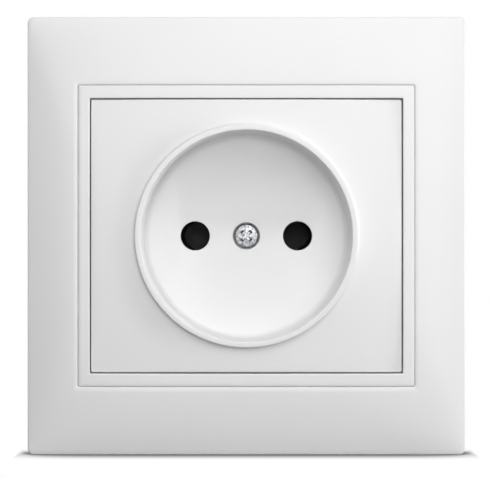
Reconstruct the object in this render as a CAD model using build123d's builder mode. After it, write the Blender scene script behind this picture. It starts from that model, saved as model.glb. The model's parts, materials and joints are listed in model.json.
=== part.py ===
from build123d import *
import math
import os

# Flush wall socket for two round pins, without earth.
# Millimetres. The origin is the centre of the cover frame on the wall's surface.
# +X is to the right, +Z is up, and the front faces -Y.
# A height is a distance in front of the wall, towards -Y.
# A depth is a distance behind the wall, towards +Y.

os.makedirs("parts", exist_ok=True)

# Pin positions and the plug well, as the two-pin standard has them
PIN_SPACING = 19.0
PIN_HOLE_R = 2.7
WELL_LIP_R = 19.3
WELL_FLOOR_R = 19.0
WELL_OUTER_R = 20.3
WELL_FLOOR_FILLET = 1.2
LIP_HEIGHT = 10.4
LIP_ROUND = 0.35
LIP_FLATS = 2
FLOOR_FLATS = 3
PLUG_CUT_ABOVE = 1.0
FLOOR_THICKNESS = 2.0

# Cover frame
FRAME_SIZE = 80.0
FRAME_CORNER_R = 1.6
FRAME_EDGE_HEIGHT = 7.4
FRAME_EDGE_ROUND = 0.6
PILLOW_RISE = 1.8
PILLOW_INNER_R = 9.0
PILLOW_CONTOURS = 4
FRAME_WALL = 1.8
RIM_POCKET_HEIGHT = 5.6
SKIN_POCKET_HEIGHT = 6.9
SKIN_POCKET_MARGIN = 4.5
SEAM_WIDTH = 61.4
SEAM_TALL = 55.0
SEAM_CORNER_R = 0.5
SEAM_CHAMFER = 0.18
RING_WALL = 1.5
LEDGE_HEIGHT = 5.0
LEDGE_THICKNESS = 1.4
LEDGE_OPEN_WIDTH = 51.2
LEDGE_OPEN_TALL = 44.6
RIB_THICKNESS = 1.2
RIB_START = 2.6
RIB_OFFSET = 15.0

# Trim frame and centre plate
TRIM_CLEARANCE = 0.1
PLATE_WIDTH = 56.6
PLATE_TALL = 49.7
PLATE_CORNER_R = 0.6
PLATE_GAP = 0.3
PLATE_EDGE_CHAMFER = 0.22
PLATE_CROWN_R = 500.0
PLATE_CROWN_TOP = 9.9
PLATE_SKIRT_WALL = 1.5
PLATE_UNDERSIDE = 7.0
PEG_LENGTH = 2.2
PEG_THICKNESS = 1.0
PEG_HOOK = 0.35
PEG_SPAN = 5.0
PEG_SLOT_PLAY = 0.45
PEG_HOOK_LENGTH = 0.8
PEG_HOOK_TAPER = 20
PLATE_RIB = 1.2

# Centre screw, M2.5 with a cheese head, and its brass bush
SCREW_HEAD_R = 2.25
SCREW_HEAD_THICKNESS = 1.8
SCREW_R = 1.25
SCREW_LENGTH = 10.0
SCREW_TIP_ROOM = 1.0
SCREW_RECESS_R = 2.5
SCREW_RECESS_DEPTH = 2.2
HEAD_CHAMFER = 0.35
CROSS_SPAN = 2.9
CROSS_SLOT = 0.75
CROSS_DEPTH = 1.1
CROSS_TAPER = 8
CROSS_TURN = 45
BOSS_R = 4.0
BOSS_DEPTH = 4.2
INSERT_R = 2.4
INSERT_TOP = 4.6
INSERT_LENGTH = 6.0

# Support plate and the wall box's screws, 60 mm apart
SHEET = 1.2
SUPPORT_SIZE = 70.0
SUPPORT_CORNER_R = 6.0
SUPPORT_OPEN_R = 20.8
BOX_SCREW_SPACING = 60.0
SLOT_LENGTH = 7.0
SLOT_WIDTH = 4.0
LUG_ROOT_START = 21.4
LUG_ROOT_END = 25.2
LUG_LENGTH = 7.3
LUG_SHOULDER = 3.0
LUG_OUTER_NOSE = 2.0
LUG_INNER_NOSE = 1.8
LUG_BACK_START = 3.2
LUG_ROOT_STEP = 2.6

# Base and rear cover
BASE_HALF_WIDTH = 19.0
BASE_HALF_TALL = 26.4
BASE_CORNER_CUT = 9.0
BASE_DEPTH = 20.2
BASE_RECESS_R = 20.6
BASE_RECESS_DEPTH = 2.2
BASE_FRONT_WALL = 2.2
BASE_PIN_HOLE_R = 3.2
WAIST_X = 17.2
WAIST_HALF_TALL = 7.0
CHAMBER_R = 3.9
COVER_THICKNESS = 2.0
COVER_RIB = 2.0
COVER_RIB_Z = 5.0
WIRE_BOSS_R = 3.8
WIRE_BOSS_DEPTH = 25.2
WIRE_HOLE_R = 1.9
WIRE_FUNNEL = 0.8
WIRE_Z = 15.6

# Contacts and terminals
SLEEVE_R = 2.4
BRASS_SHEET = 0.6
STRAP_SHEET = 0.8
SLEEVE_START = 5.0
SLEEVE_END = 19.2
MOUTH_FLARE = 0.35
MOUTH_LENGTH = 1.5
SLIT_WIDTH = 0.8
SLIT_END = 16.5
STRAP_HALF_WIDTH = 3.3
BLOCK_WIDTH = 7.0
BLOCK_START = 10.7
BLOCK_BOTTOM = 12.5
BLOCK_TOP = 21.7
BLOCK_BORE_R = 1.7
BLOCK_BORE_END = 11.7
TERMINAL_SCREW_Y = 14.6
TERMINAL_SCREW_R = 1.5
TERMINAL_HEAD_R = 2.6
TERMINAL_TIP_Z = 16.6
TERMINAL_HEAD_Z = 22.4
TERMINAL_HEAD = 2.0
SLOT_CUT = 0.7
SLOT_CUT_DEPTH = 1.0
POCKET_PLAY = 0.25
STRAP_PLAY = 0.3
SPRING_START = 8.0
SPRING_END = 15.0
SPRING_SHEET = 0.6
SPRING_OPENING = 1.6

# Tubular rivets that hold plate, base and rear cover together
RIVET_Z = 23.4
RIVET_R = 1.5
RIVET_BORE_R = 1.0
RIVET_HEAD_R = 2.6
RIVET_HEAD = 0.6
RIVET_ROLL_TAPER = 30
RIVET_BOSS_R = 3.0
RIVET_BOSS_DEPTH = 24.0

# Claws: a toothed lever on a hinge pin, drawn outwards by a screw and a barrel nut
CLAW_PIVOT_X = 20.2
CLAW_PIVOT_Y = 5.2
CLAW_SCREW_ARM = 3.4
CLAW_SHEET = 1.2
CLAW_HALF_WIDTH = 3.8
LUG_GAP = 0.2
HINGE_PIN_R = 1.0
HINGE_HEAD_R = 1.7
HINGE_HEAD = 0.6
CLAW_SCREW_R = 1.5
CLAW_HEAD_R = 2.5
CLAW_HEAD_THICKNESS = 1.8
CLAW_SCREW_LENGTH = 10.9
PAN_CHAMFER = 0.55
NUT_R = 2.0
NUT_HALF_WIDTH = 2.4
NUT_PLAY = 0.05
FLANGE_END = 7.0

# Fork, web and tooth line of the claw, as (outwards, rearwards) from its hinge pin
FLANGE_START = 1.2
FORK_END = 5.9
FORK_PLAY = 0.2
WEB_BACK = -1.8
WEB_START = 2.2
CLAW_LENGTH = 16.4
CHEEK_OUTLINE = (
    (-1.8, -1.9),
    (1.8, -1.9),
    (2.4, -0.6),
    (7.0, -0.6),
    (7.0, 1.2),
    (3.5, 4.2),
    (1.6, 7.0),
    (1.6, 10.5),
    (4.4, 11.2),
    (3.4, 12.4),
    (5.0, 13.0),
    (4.0, 14.2),
    (5.6, 14.8),
    (4.6, CLAW_LENGTH),
    (-1.8, CLAW_LENGTH),
)

# Values worked out from the ones above
PIN_X = PIN_SPACING / 2
NEAR = 0.02
FRONT_SURFACE = 8.0
TRIM_WIDTH = SEAM_WIDTH - 2 * TRIM_CLEARANCE
TRIM_TALL = SEAM_TALL - 2 * TRIM_CLEARANCE
RUNNING = 0.05
SEATED = 0.02
LOOSE = 0.1
CLEAR = 0.2
COVER_START = BASE_DEPTH
COVER_END = BASE_DEPTH + COVER_THICKNESS
LUG_INSIDE = CLAW_HALF_WIDTH + LUG_GAP
CLAW_SCREW_X = CLAW_PIVOT_X + CLAW_SCREW_ARM
SIDES = {"left": -1, "right": 1}


def front(height):
    """A plane parallel to the wall, this far in front of it, with X to the right and Z up."""
    return Plane.XZ.offset(height)


def behind(depth):
    """A plane parallel to the wall, this far behind it."""
    return Plane.XZ.offset(-depth)


def depth_axis(x, z=0.0):
    """The line through (x, z) that runs straight into the wall."""
    return Axis((x, 0, z), (0, 1, 0))


def pillow_contour(share):
    """Half-width, half-height, corner radius and height of one contour of the pillowed front."""
    half_width = FRAME_SIZE / 2 + share * (PLATE_WIDTH / 2 - FRAME_SIZE / 2)
    half_tall = FRAME_SIZE / 2 + share * (PLATE_TALL / 2 - FRAME_SIZE / 2)
    corner = FRAME_CORNER_R + share * (PILLOW_INNER_R - FRAME_CORNER_R)
    height = FRAME_EDGE_HEIGHT + PILLOW_RISE * (1 - (1 - share) ** 2)
    return half_width, half_tall, corner, height


def peg_places():
    """Place and size of the trim's four pegs, one in the middle of each side."""
    peg_x = (PLATE_WIDTH / 2 + PLATE_GAP + SEAM_WIDTH / 2) / 2
    peg_z = (PLATE_TALL / 2 + PLATE_GAP + SEAM_TALL / 2) / 2
    places = []
    for end in (-1, 1):
        places.append(((end * peg_x, 0), (PEG_THICKNESS, PEG_SPAN)))
        places.append(((0, end * peg_z), (PEG_SPAN, PEG_THICKNESS)))
    return places


def outline_edges(builder, width, tall):
    """Edges of the front surface that lie over the outline of a rectangle of this size."""

    def on_outline(edge):
        box = edge.bounding_box()
        across = max(abs(box.min.X), abs(box.max.X)) > width / 2 - NEAR
        upright = max(abs(box.min.Z), abs(box.max.Z)) > tall / 2 - NEAR
        inside = max(abs(box.min.X), abs(box.max.X)) < width / 2 + NEAR
        inside = inside and max(abs(box.min.Z), abs(box.max.Z)) < tall / 2 + NEAR
        at_front = box.max.Y < -FRONT_SURFACE
        return inside and (across or upright) and at_front

    return builder.edges().filter_by(on_outline)


def eased_corner(middle_x, middle_y, radius, first_angle, flats, turn=-1):
    """Points of a quarter round drawn with a few flats, from first_angle on, turning by turn."""
    points = []
    for step in range(flats + 1):
        angle = math.radians(first_angle + turn * 90 * step / flats)
        points.append((middle_x + radius * math.cos(angle), middle_y + radius * math.sin(angle)))
    return points


# Pillow form that the cover frame and the trim frame share, so that the seam lies in one surface
with BuildPart() as pillow:
    with BuildSketch(front(0)):
        RectangleRounded(FRAME_SIZE, FRAME_SIZE, FRAME_CORNER_R)
    extrude(amount=FRAME_EDGE_HEIGHT)
    for index in range(PILLOW_CONTOURS):
        half_width, half_tall, corner, height = pillow_contour(index / (PILLOW_CONTOURS - 1))
        with BuildSketch(front(height)):
            RectangleRounded(2 * half_width, 2 * half_tall, corner)
    loft()


# Cover frame: hollow moulding with a ledge round its opening
with BuildPart() as cover_frame:
    add(pillow.part)
    rim = cover_frame.edges().filter_by_position(Axis.Y, -FRAME_EDGE_HEIGHT - 0.01, -FRAME_EDGE_HEIGHT + 0.01)
    fillet(rim, FRAME_EDGE_ROUND)
    with BuildSketch(front(0)):
        Rectangle(FRAME_SIZE - 2 * FRAME_WALL, FRAME_SIZE - 2 * FRAME_WALL)
    extrude(amount=RIM_POCKET_HEIGHT, mode=Mode.SUBTRACT)
    with BuildSketch(front(0)):
        Rectangle(FRAME_SIZE - 2 * SKIN_POCKET_MARGIN, FRAME_SIZE - 2 * SKIN_POCKET_MARGIN)
    extrude(amount=SKIN_POCKET_HEIGHT, mode=Mode.SUBTRACT)
    # Ring wall round the opening, with the ledge at its foot
    with BuildSketch(front(LEDGE_HEIGHT - LEDGE_THICKNESS)):
        Rectangle(SEAM_WIDTH + 2 * RING_WALL, SEAM_TALL + 2 * RING_WALL)
    extrude(amount=SKIN_POCKET_HEIGHT - LEDGE_HEIGHT + LEDGE_THICKNESS)
    # Ribs from the ring to the outer wall, two on each side
    with BuildSketch(front(RIB_START)):
        for offset_along in (-RIB_OFFSET, RIB_OFFSET):
            for end in (-1, 1):
                across_x = end * (SEAM_WIDTH / 2 + FRAME_SIZE / 2) / 2
                across_z = end * (SEAM_TALL / 2 + FRAME_SIZE / 2) / 2
                with Locations((across_x, offset_along)):
                    Rectangle((FRAME_SIZE - SEAM_WIDTH) / 2 - FRAME_WALL, RIB_THICKNESS)
                with Locations((offset_along, across_z)):
                    Rectangle(RIB_THICKNESS, (FRAME_SIZE - SEAM_TALL) / 2 - FRAME_WALL)
    extrude(amount=SKIN_POCKET_HEIGHT - RIB_START)
    # Opening for the trim and the plate, and the smaller one in the ledge
    with BuildSketch(front(LEDGE_HEIGHT)):
        RectangleRounded(SEAM_WIDTH, SEAM_TALL, SEAM_CORNER_R)
    extrude(amount=FRAME_EDGE_HEIGHT, mode=Mode.SUBTRACT)
    with BuildSketch(front(0)):
        RectangleRounded(LEDGE_OPEN_WIDTH, LEDGE_OPEN_TALL, 2 * SEAM_CORNER_R)
    extrude(amount=LEDGE_HEIGHT, mode=Mode.SUBTRACT)
    # Slots in the ledge for the trim's pegs
    with BuildSketch(front(LEDGE_HEIGHT - LEDGE_THICKNESS)):
        for (x, z), (across, tall) in peg_places():
            with Locations((x, z)):
                Rectangle(across + 2 * PEG_SLOT_PLAY, tall + 2 * PEG_SLOT_PLAY)
    extrude(amount=LEDGE_THICKNESS, mode=Mode.SUBTRACT)
    chamfer(outline_edges(cover_frame, SEAM_WIDTH, SEAM_TALL), SEAM_CHAMFER)
cover_frame.part.label = "cover_frame"
export_step(cover_frame.part, "parts/cover_frame.step")


# Trim frame: narrow insert that stands on the ledge and snaps in with four pegs
with BuildPart() as trim_frame:
    add(pillow.part)
    with BuildSketch(front(LEDGE_HEIGHT)):
        RectangleRounded(TRIM_WIDTH, TRIM_TALL, SEAM_CORNER_R)
        Rectangle(PLATE_WIDTH + 2 * PLATE_GAP, PLATE_TALL + 2 * PLATE_GAP, mode=Mode.SUBTRACT)
    extrude(amount=FRAME_EDGE_HEIGHT, mode=Mode.INTERSECT)
    chamfer(outline_edges(trim_frame, TRIM_WIDTH, TRIM_TALL), SEAM_CHAMFER)
    # Pegs with a small hook under the ledge
    with BuildSketch(front(LEDGE_HEIGHT)):
        for (x, z), (across, tall) in peg_places():
            with Locations((x, z)):
                Rectangle(across, tall)
    extrude(amount=-PEG_LENGTH)
    with BuildSketch(front(LEDGE_HEIGHT - LEDGE_THICKNESS - SEATED)):
        for (x, z), (across, tall) in peg_places():
            with Locations((x, z)):
                Rectangle(across + (across < tall) * 2 * PEG_HOOK, tall + (tall < across) * 2 * PEG_HOOK)
    extrude(amount=-PEG_HOOK_LENGTH, taper=PEG_HOOK_TAPER)
trim_frame.part.label = "trim_frame"
export_step(trim_frame.part, "parts/trim_frame.step")


# Centre plate: crowned plate with a skirt, and the round plug well with its raised lip
with BuildPart() as centre_plate:
    with BuildSketch(front(LEDGE_HEIGHT)):
        RectangleRounded(PLATE_WIDTH, PLATE_TALL, PLATE_CORNER_R)
    extrude(amount=LIP_HEIGHT - LEDGE_HEIGHT)
    with Locations((0, PLATE_CROWN_R - PLATE_CROWN_TOP, 0)):
        Sphere(PLATE_CROWN_R, mode=Mode.INTERSECT)
    chamfer(outline_edges(centre_plate, PLATE_WIDTH, PLATE_TALL), PLATE_EDGE_CHAMFER)
    with BuildSketch(front(LEDGE_HEIGHT)):
        Rectangle(PLATE_WIDTH - 2 * PLATE_SKIRT_WALL, PLATE_TALL - 2 * PLATE_SKIRT_WALL)
    extrude(amount=PLATE_UNDERSIDE - LEDGE_HEIGHT, mode=Mode.SUBTRACT)
    # Stiffening ribs from the well to the corners of the skirt
    with BuildSketch(front(LEDGE_HEIGHT)):
        Rectangle(PLATE_WIDTH - PLATE_SKIRT_WALL, PLATE_RIB)
        Rectangle(PLATE_RIB, PLATE_TALL - PLATE_SKIRT_WALL)
    extrude(amount=PLATE_UNDERSIDE - LEDGE_HEIGHT)
    # Cup of the well, turned about its own axis, with an eased lip
    with BuildSketch(Plane.XY):
        with BuildLine():
            Polyline(
                (0, FLOOR_THICKNESS),
                (WELL_OUTER_R, FLOOR_THICKNESS),
                *eased_corner(WELL_OUTER_R - LIP_ROUND, LIP_ROUND - LIP_HEIGHT, LIP_ROUND, 0, LIP_FLATS),
                (0, -LIP_HEIGHT),
                close=True,
            )
        make_face()
    revolve(axis=Axis.Y)
    with BuildSketch(Plane.XY):
        with BuildLine():
            Polyline(
                (0, 0),
                *eased_corner(
                    WELL_FLOOR_R - WELL_FLOOR_FILLET, -WELL_FLOOR_FILLET, WELL_FLOOR_FILLET, 90, FLOOR_FLATS
                ),
                *eased_corner(WELL_LIP_R + LIP_ROUND, LIP_ROUND - LIP_HEIGHT, LIP_ROUND, 180, LIP_FLATS, 1),
                (WELL_LIP_R + LIP_ROUND, -LIP_HEIGHT - PLUG_CUT_ABOVE),
                (0, -LIP_HEIGHT - PLUG_CUT_ABOVE),
                close=True,
            )
        make_face()
    revolve(axis=Axis.Y, mode=Mode.SUBTRACT)
    # Boss for the centre screw, its recess, and the two pin holes
    with BuildSketch(behind(FLOOR_THICKNESS)):
        Circle(BOSS_R)
    extrude(amount=FLOOR_THICKNESS - BOSS_DEPTH)
    with BuildSketch(front(0)):
        Circle(SCREW_RECESS_R)
    extrude(amount=-SCREW_RECESS_DEPTH, mode=Mode.SUBTRACT)
    with BuildSketch(behind(SCREW_RECESS_DEPTH)):
        Circle(SCREW_R + LOOSE)
    extrude(amount=SCREW_RECESS_DEPTH - BOSS_DEPTH, mode=Mode.SUBTRACT)
    with BuildSketch(front(0)):
        with Locations((-PIN_X, 0), (PIN_X, 0)):
            Circle(PIN_HOLE_R)
    extrude(amount=-FLOOR_THICKNESS, mode=Mode.SUBTRACT)
centre_plate.part.label = "centre_plate"
export_step(centre_plate.part, "parts/centre_plate.step")


# Centre screw: cheese head with a cross recess turned 45 degrees
with BuildPart() as centre_screw:
    with BuildSketch(behind(SCREW_RECESS_DEPTH)):
        Circle(SCREW_HEAD_R)
    extrude(amount=SCREW_HEAD_THICKNESS)
    head_rim = centre_screw.edges().filter_by(GeomType.CIRCLE).sort_by(Axis.Y)[0]
    chamfer(head_rim, HEAD_CHAMFER)
    with BuildSketch(behind(SCREW_RECESS_DEPTH)):
        Circle(SCREW_R)
    extrude(amount=-SCREW_LENGTH)
    with BuildSketch(behind(SCREW_RECESS_DEPTH - SCREW_HEAD_THICKNESS)):
        Rectangle(CROSS_SPAN, CROSS_SLOT, rotation=CROSS_TURN)
        Rectangle(CROSS_SLOT, CROSS_SPAN, rotation=CROSS_TURN)
    extrude(amount=-CROSS_DEPTH, taper=CROSS_TAPER, mode=Mode.SUBTRACT)
centre_screw.part.label = "centre_screw"
export_step(centre_screw.part, "parts/centre_screw.step")


# Centre insert: brass bush for the centre screw, pressed into the base
with BuildPart() as centre_insert:
    with BuildSketch(behind(INSERT_TOP)):
        Circle(INSERT_R)
        Circle(SCREW_R + SEATED, mode=Mode.SUBTRACT)
    extrude(amount=-INSERT_LENGTH)
centre_insert.part.label = "centre_insert"
export_step(centre_insert.part, "parts/centre_insert.step")


# Support plate: stamped steel, with slots for the wall box's screws and lugs for the claws
with BuildPart() as support_plate:
    with BuildSketch(front(0)):
        RectangleRounded(SUPPORT_SIZE, SUPPORT_SIZE, SUPPORT_CORNER_R)
        Circle(SUPPORT_OPEN_R, mode=Mode.SUBTRACT)
        with Locations((-BOX_SCREW_SPACING / 2, 0), (BOX_SCREW_SPACING / 2, 0)):
            SlotOverall(SLOT_LENGTH, SLOT_WIDTH, mode=Mode.SUBTRACT)
        with Locations((0, -BOX_SCREW_SPACING / 2), (0, BOX_SCREW_SPACING / 2)):
            SlotOverall(SLOT_LENGTH, SLOT_WIDTH, rotation=90, mode=Mode.SUBTRACT)
        with Locations((0, -RIVET_Z), (0, RIVET_Z)):
            Circle(RIVET_R + SEATED, mode=Mode.SUBTRACT)
        with Locations((-CLAW_SCREW_X, 0), (CLAW_SCREW_X, 0)):
            Circle(CLAW_SCREW_R + CLEAR, mode=Mode.SUBTRACT)
        # Windows that the lugs were folded out of
        window_x = (LUG_ROOT_START + LUG_ROOT_END) / 2
        window_z = LUG_INSIDE + SHEET + LUG_LENGTH / 2
        with GridLocations(2 * window_x, 2 * window_z, 2, 2):
            Rectangle(LUG_ROOT_END - LUG_ROOT_START, LUG_LENGTH, mode=Mode.SUBTRACT)
    extrude(amount=SHEET)
    for side in SIDES.values():
        for lug_low in (LUG_INSIDE, -LUG_INSIDE - SHEET):
            with BuildSketch(Plane.XY.offset(lug_low)):
                with BuildLine():
                    Polyline(
                        (side * LUG_ROOT_START, 0),
                        (side * LUG_ROOT_END, 0),
                        (side * LUG_ROOT_END, LUG_SHOULDER),
                        (side * (CLAW_PIVOT_X + LUG_OUTER_NOSE), LUG_LENGTH),
                        (side * (CLAW_PIVOT_X - LUG_INNER_NOSE), LUG_LENGTH),
                        (side * (CLAW_PIVOT_X - LUG_INNER_NOSE), LUG_BACK_START),
                        (side * LUG_ROOT_START, LUG_ROOT_STEP),
                        close=True,
                    )
                make_face()
                with Locations((side * CLAW_PIVOT_X, CLAW_PIVOT_Y)):
                    Circle(HINGE_PIN_R + SEATED, mode=Mode.SUBTRACT)
            extrude(amount=SHEET)
support_plate.part.label = "support_plate"
export_step(support_plate.part, "parts/support_plate.step")


# Outline of the base and the rear cover: cut corners, and a waist for the claws
with BuildSketch() as mechanism_outline:
    with BuildLine():
        Polyline(
            (0, 0),
            (WAIST_X, 0),
            (WAIST_X, WAIST_HALF_TALL),
            (BASE_HALF_WIDTH, WAIST_HALF_TALL),
            (BASE_HALF_WIDTH, BASE_HALF_TALL - BASE_CORNER_CUT),
            (BASE_HALF_WIDTH - BASE_CORNER_CUT, BASE_HALF_TALL),
            (0, BASE_HALF_TALL),
            close=True,
        )
    make_face()
    mirror(about=Plane.YZ)
    mirror(about=Plane.XZ)


# Base: moulded body with one chamber for each contact and its terminal
with BuildPart() as base:
    with BuildSketch(behind(BASE_DEPTH)):
        add(mechanism_outline.sketch)
        with Locations((0, -RIVET_Z), (0, RIVET_Z)):
            Circle(RIVET_R + LOOSE, mode=Mode.SUBTRACT)
    extrude(amount=BASE_DEPTH)
    with BuildSketch(front(0)):
        Circle(BASE_RECESS_R)
    extrude(amount=-BASE_RECESS_DEPTH, mode=Mode.SUBTRACT)
    with BuildSketch(front(0)):
        Circle(BOSS_R + CLEAR)
    extrude(amount=-BASE_RECESS_DEPTH - BASE_FRONT_WALL, mode=Mode.SUBTRACT)
    with BuildSketch(front(0)):
        Circle(INSERT_R + SEATED)
    extrude(amount=-INSERT_TOP - INSERT_LENGTH, mode=Mode.SUBTRACT)
    with BuildSketch(front(0)):
        Circle(SCREW_R + CLEAR)
    extrude(amount=-SCREW_RECESS_DEPTH - SCREW_LENGTH - SCREW_TIP_ROOM, mode=Mode.SUBTRACT)
    with BuildSketch(front(0)):
        with Locations((-PIN_X, 0), (PIN_X, 0)):
            Circle(BASE_PIN_HOLE_R)
    extrude(amount=-BASE_DEPTH / 2, mode=Mode.SUBTRACT)
    # Sleeve chamber, strap channel, terminal pocket and screwdriver hole of each pole
    for side in SIDES.values():
        with BuildSketch(behind(BASE_DEPTH)):
            with Locations((side * PIN_X, 0)):
                Circle(CHAMBER_R)
        extrude(amount=BASE_DEPTH - BASE_RECESS_DEPTH - BASE_FRONT_WALL, mode=Mode.SUBTRACT)
        strap_top = BLOCK_TOP + POCKET_PLAY
        with BuildSketch(behind(BASE_DEPTH)):
            with Locations((side * PIN_X, strap_top / 2)):
                Rectangle(2 * (STRAP_HALF_WIDTH + POCKET_PLAY), strap_top)
        extrude(amount=BASE_DEPTH - SLEEVE_END + STRAP_PLAY, mode=Mode.SUBTRACT)
        pocket_middle = (BLOCK_BOTTOM + BLOCK_TOP) / 2
        with BuildSketch(behind(BASE_DEPTH)):
            with Locations((side * PIN_X, pocket_middle)):
                Rectangle(BLOCK_WIDTH + 2 * POCKET_PLAY, BLOCK_TOP - BLOCK_BOTTOM + 2 * POCKET_PLAY)
        extrude(amount=BASE_DEPTH - BLOCK_START + POCKET_PLAY, mode=Mode.SUBTRACT)
        with BuildSketch(Plane.XY.offset(pocket_middle)):
            with Locations((side * PIN_X, TERMINAL_SCREW_Y)):
                Circle(TERMINAL_HEAD_R + 2 * POCKET_PLAY)
        extrude(amount=BASE_HALF_TALL, mode=Mode.SUBTRACT)
base.part.label = "base"
export_step(base.part, "parts/base.step")


# Rear cover: closes the chambers, with a funnel for each wire
with BuildPart() as rear_cover:
    with BuildSketch(behind(COVER_END)):
        add(mechanism_outline.sketch)
    extrude(amount=COVER_THICKNESS)
    with BuildSketch(behind(COVER_END)):
        with Locations((0, -RIVET_Z), (0, RIVET_Z)):
            Circle(RIVET_BOSS_R)
        with Locations((-PIN_X, WIRE_Z), (PIN_X, WIRE_Z)):
            Circle(WIRE_BOSS_R)
        Rectangle(COVER_RIB, 2 * RIVET_Z)
        with Locations((0, -COVER_RIB_Z), (0, COVER_RIB_Z)):
            Rectangle(2 * WAIST_X - COVER_RIB, COVER_RIB)
    extrude(amount=COVER_END - RIVET_BOSS_DEPTH)
    with BuildSketch(behind(RIVET_BOSS_DEPTH)):
        with Locations((-PIN_X, WIRE_Z), (PIN_X, WIRE_Z)):
            Circle(WIRE_BOSS_R)
    extrude(amount=RIVET_BOSS_DEPTH - WIRE_BOSS_DEPTH)
    with BuildSketch(behind(COVER_START)):
        with Locations((0, -RIVET_Z), (0, RIVET_Z)):
            Circle(RIVET_R + LOOSE)
        with Locations((-PIN_X, WIRE_Z), (PIN_X, WIRE_Z)):
            Circle(WIRE_HOLE_R)
    extrude(amount=COVER_START - WIRE_BOSS_DEPTH, mode=Mode.SUBTRACT)
    mouths = rear_cover.faces().sort_by(Axis.Y)[-1].edges() + rear_cover.faces().sort_by(Axis.Y)[-2].edges()
    chamfer(mouths.filter_by(lambda edge: edge.radius < WIRE_HOLE_R + SEATED), WIRE_FUNNEL)
rear_cover.part.label = "rear_cover"
export_step(rear_cover.part, "parts/rear_cover.step")


# Rivets: tubes with a flat head on the support plate and a rolled end on the rear cover
for name, rivet_z in (("rivet_upper", RIVET_Z), ("rivet_lower", -RIVET_Z)):
    with BuildPart() as rivet:
        with BuildSketch(front(SHEET)):
            with Locations((0, rivet_z)):
                Circle(RIVET_HEAD_R)
        extrude(amount=RIVET_HEAD)
        with BuildSketch(front(SHEET)):
            with Locations((0, rivet_z)):
                Circle(RIVET_R)
        extrude(amount=-SHEET - RIVET_BOSS_DEPTH)
        with BuildSketch(behind(RIVET_BOSS_DEPTH)):
            with Locations((0, rivet_z)):
                Circle(RIVET_HEAD_R)
        extrude(amount=-RIVET_HEAD, taper=RIVET_ROLL_TAPER)
        with BuildSketch(front(SHEET + RIVET_HEAD)):
            with Locations((0, rivet_z)):
                Circle(RIVET_BORE_R)
        extrude(amount=-SHEET - RIVET_BOSS_DEPTH - 2 * RIVET_HEAD, mode=Mode.SUBTRACT)
    rivet.part.label = name
    export_step(rivet.part, f"parts/{name}.step")


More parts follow.
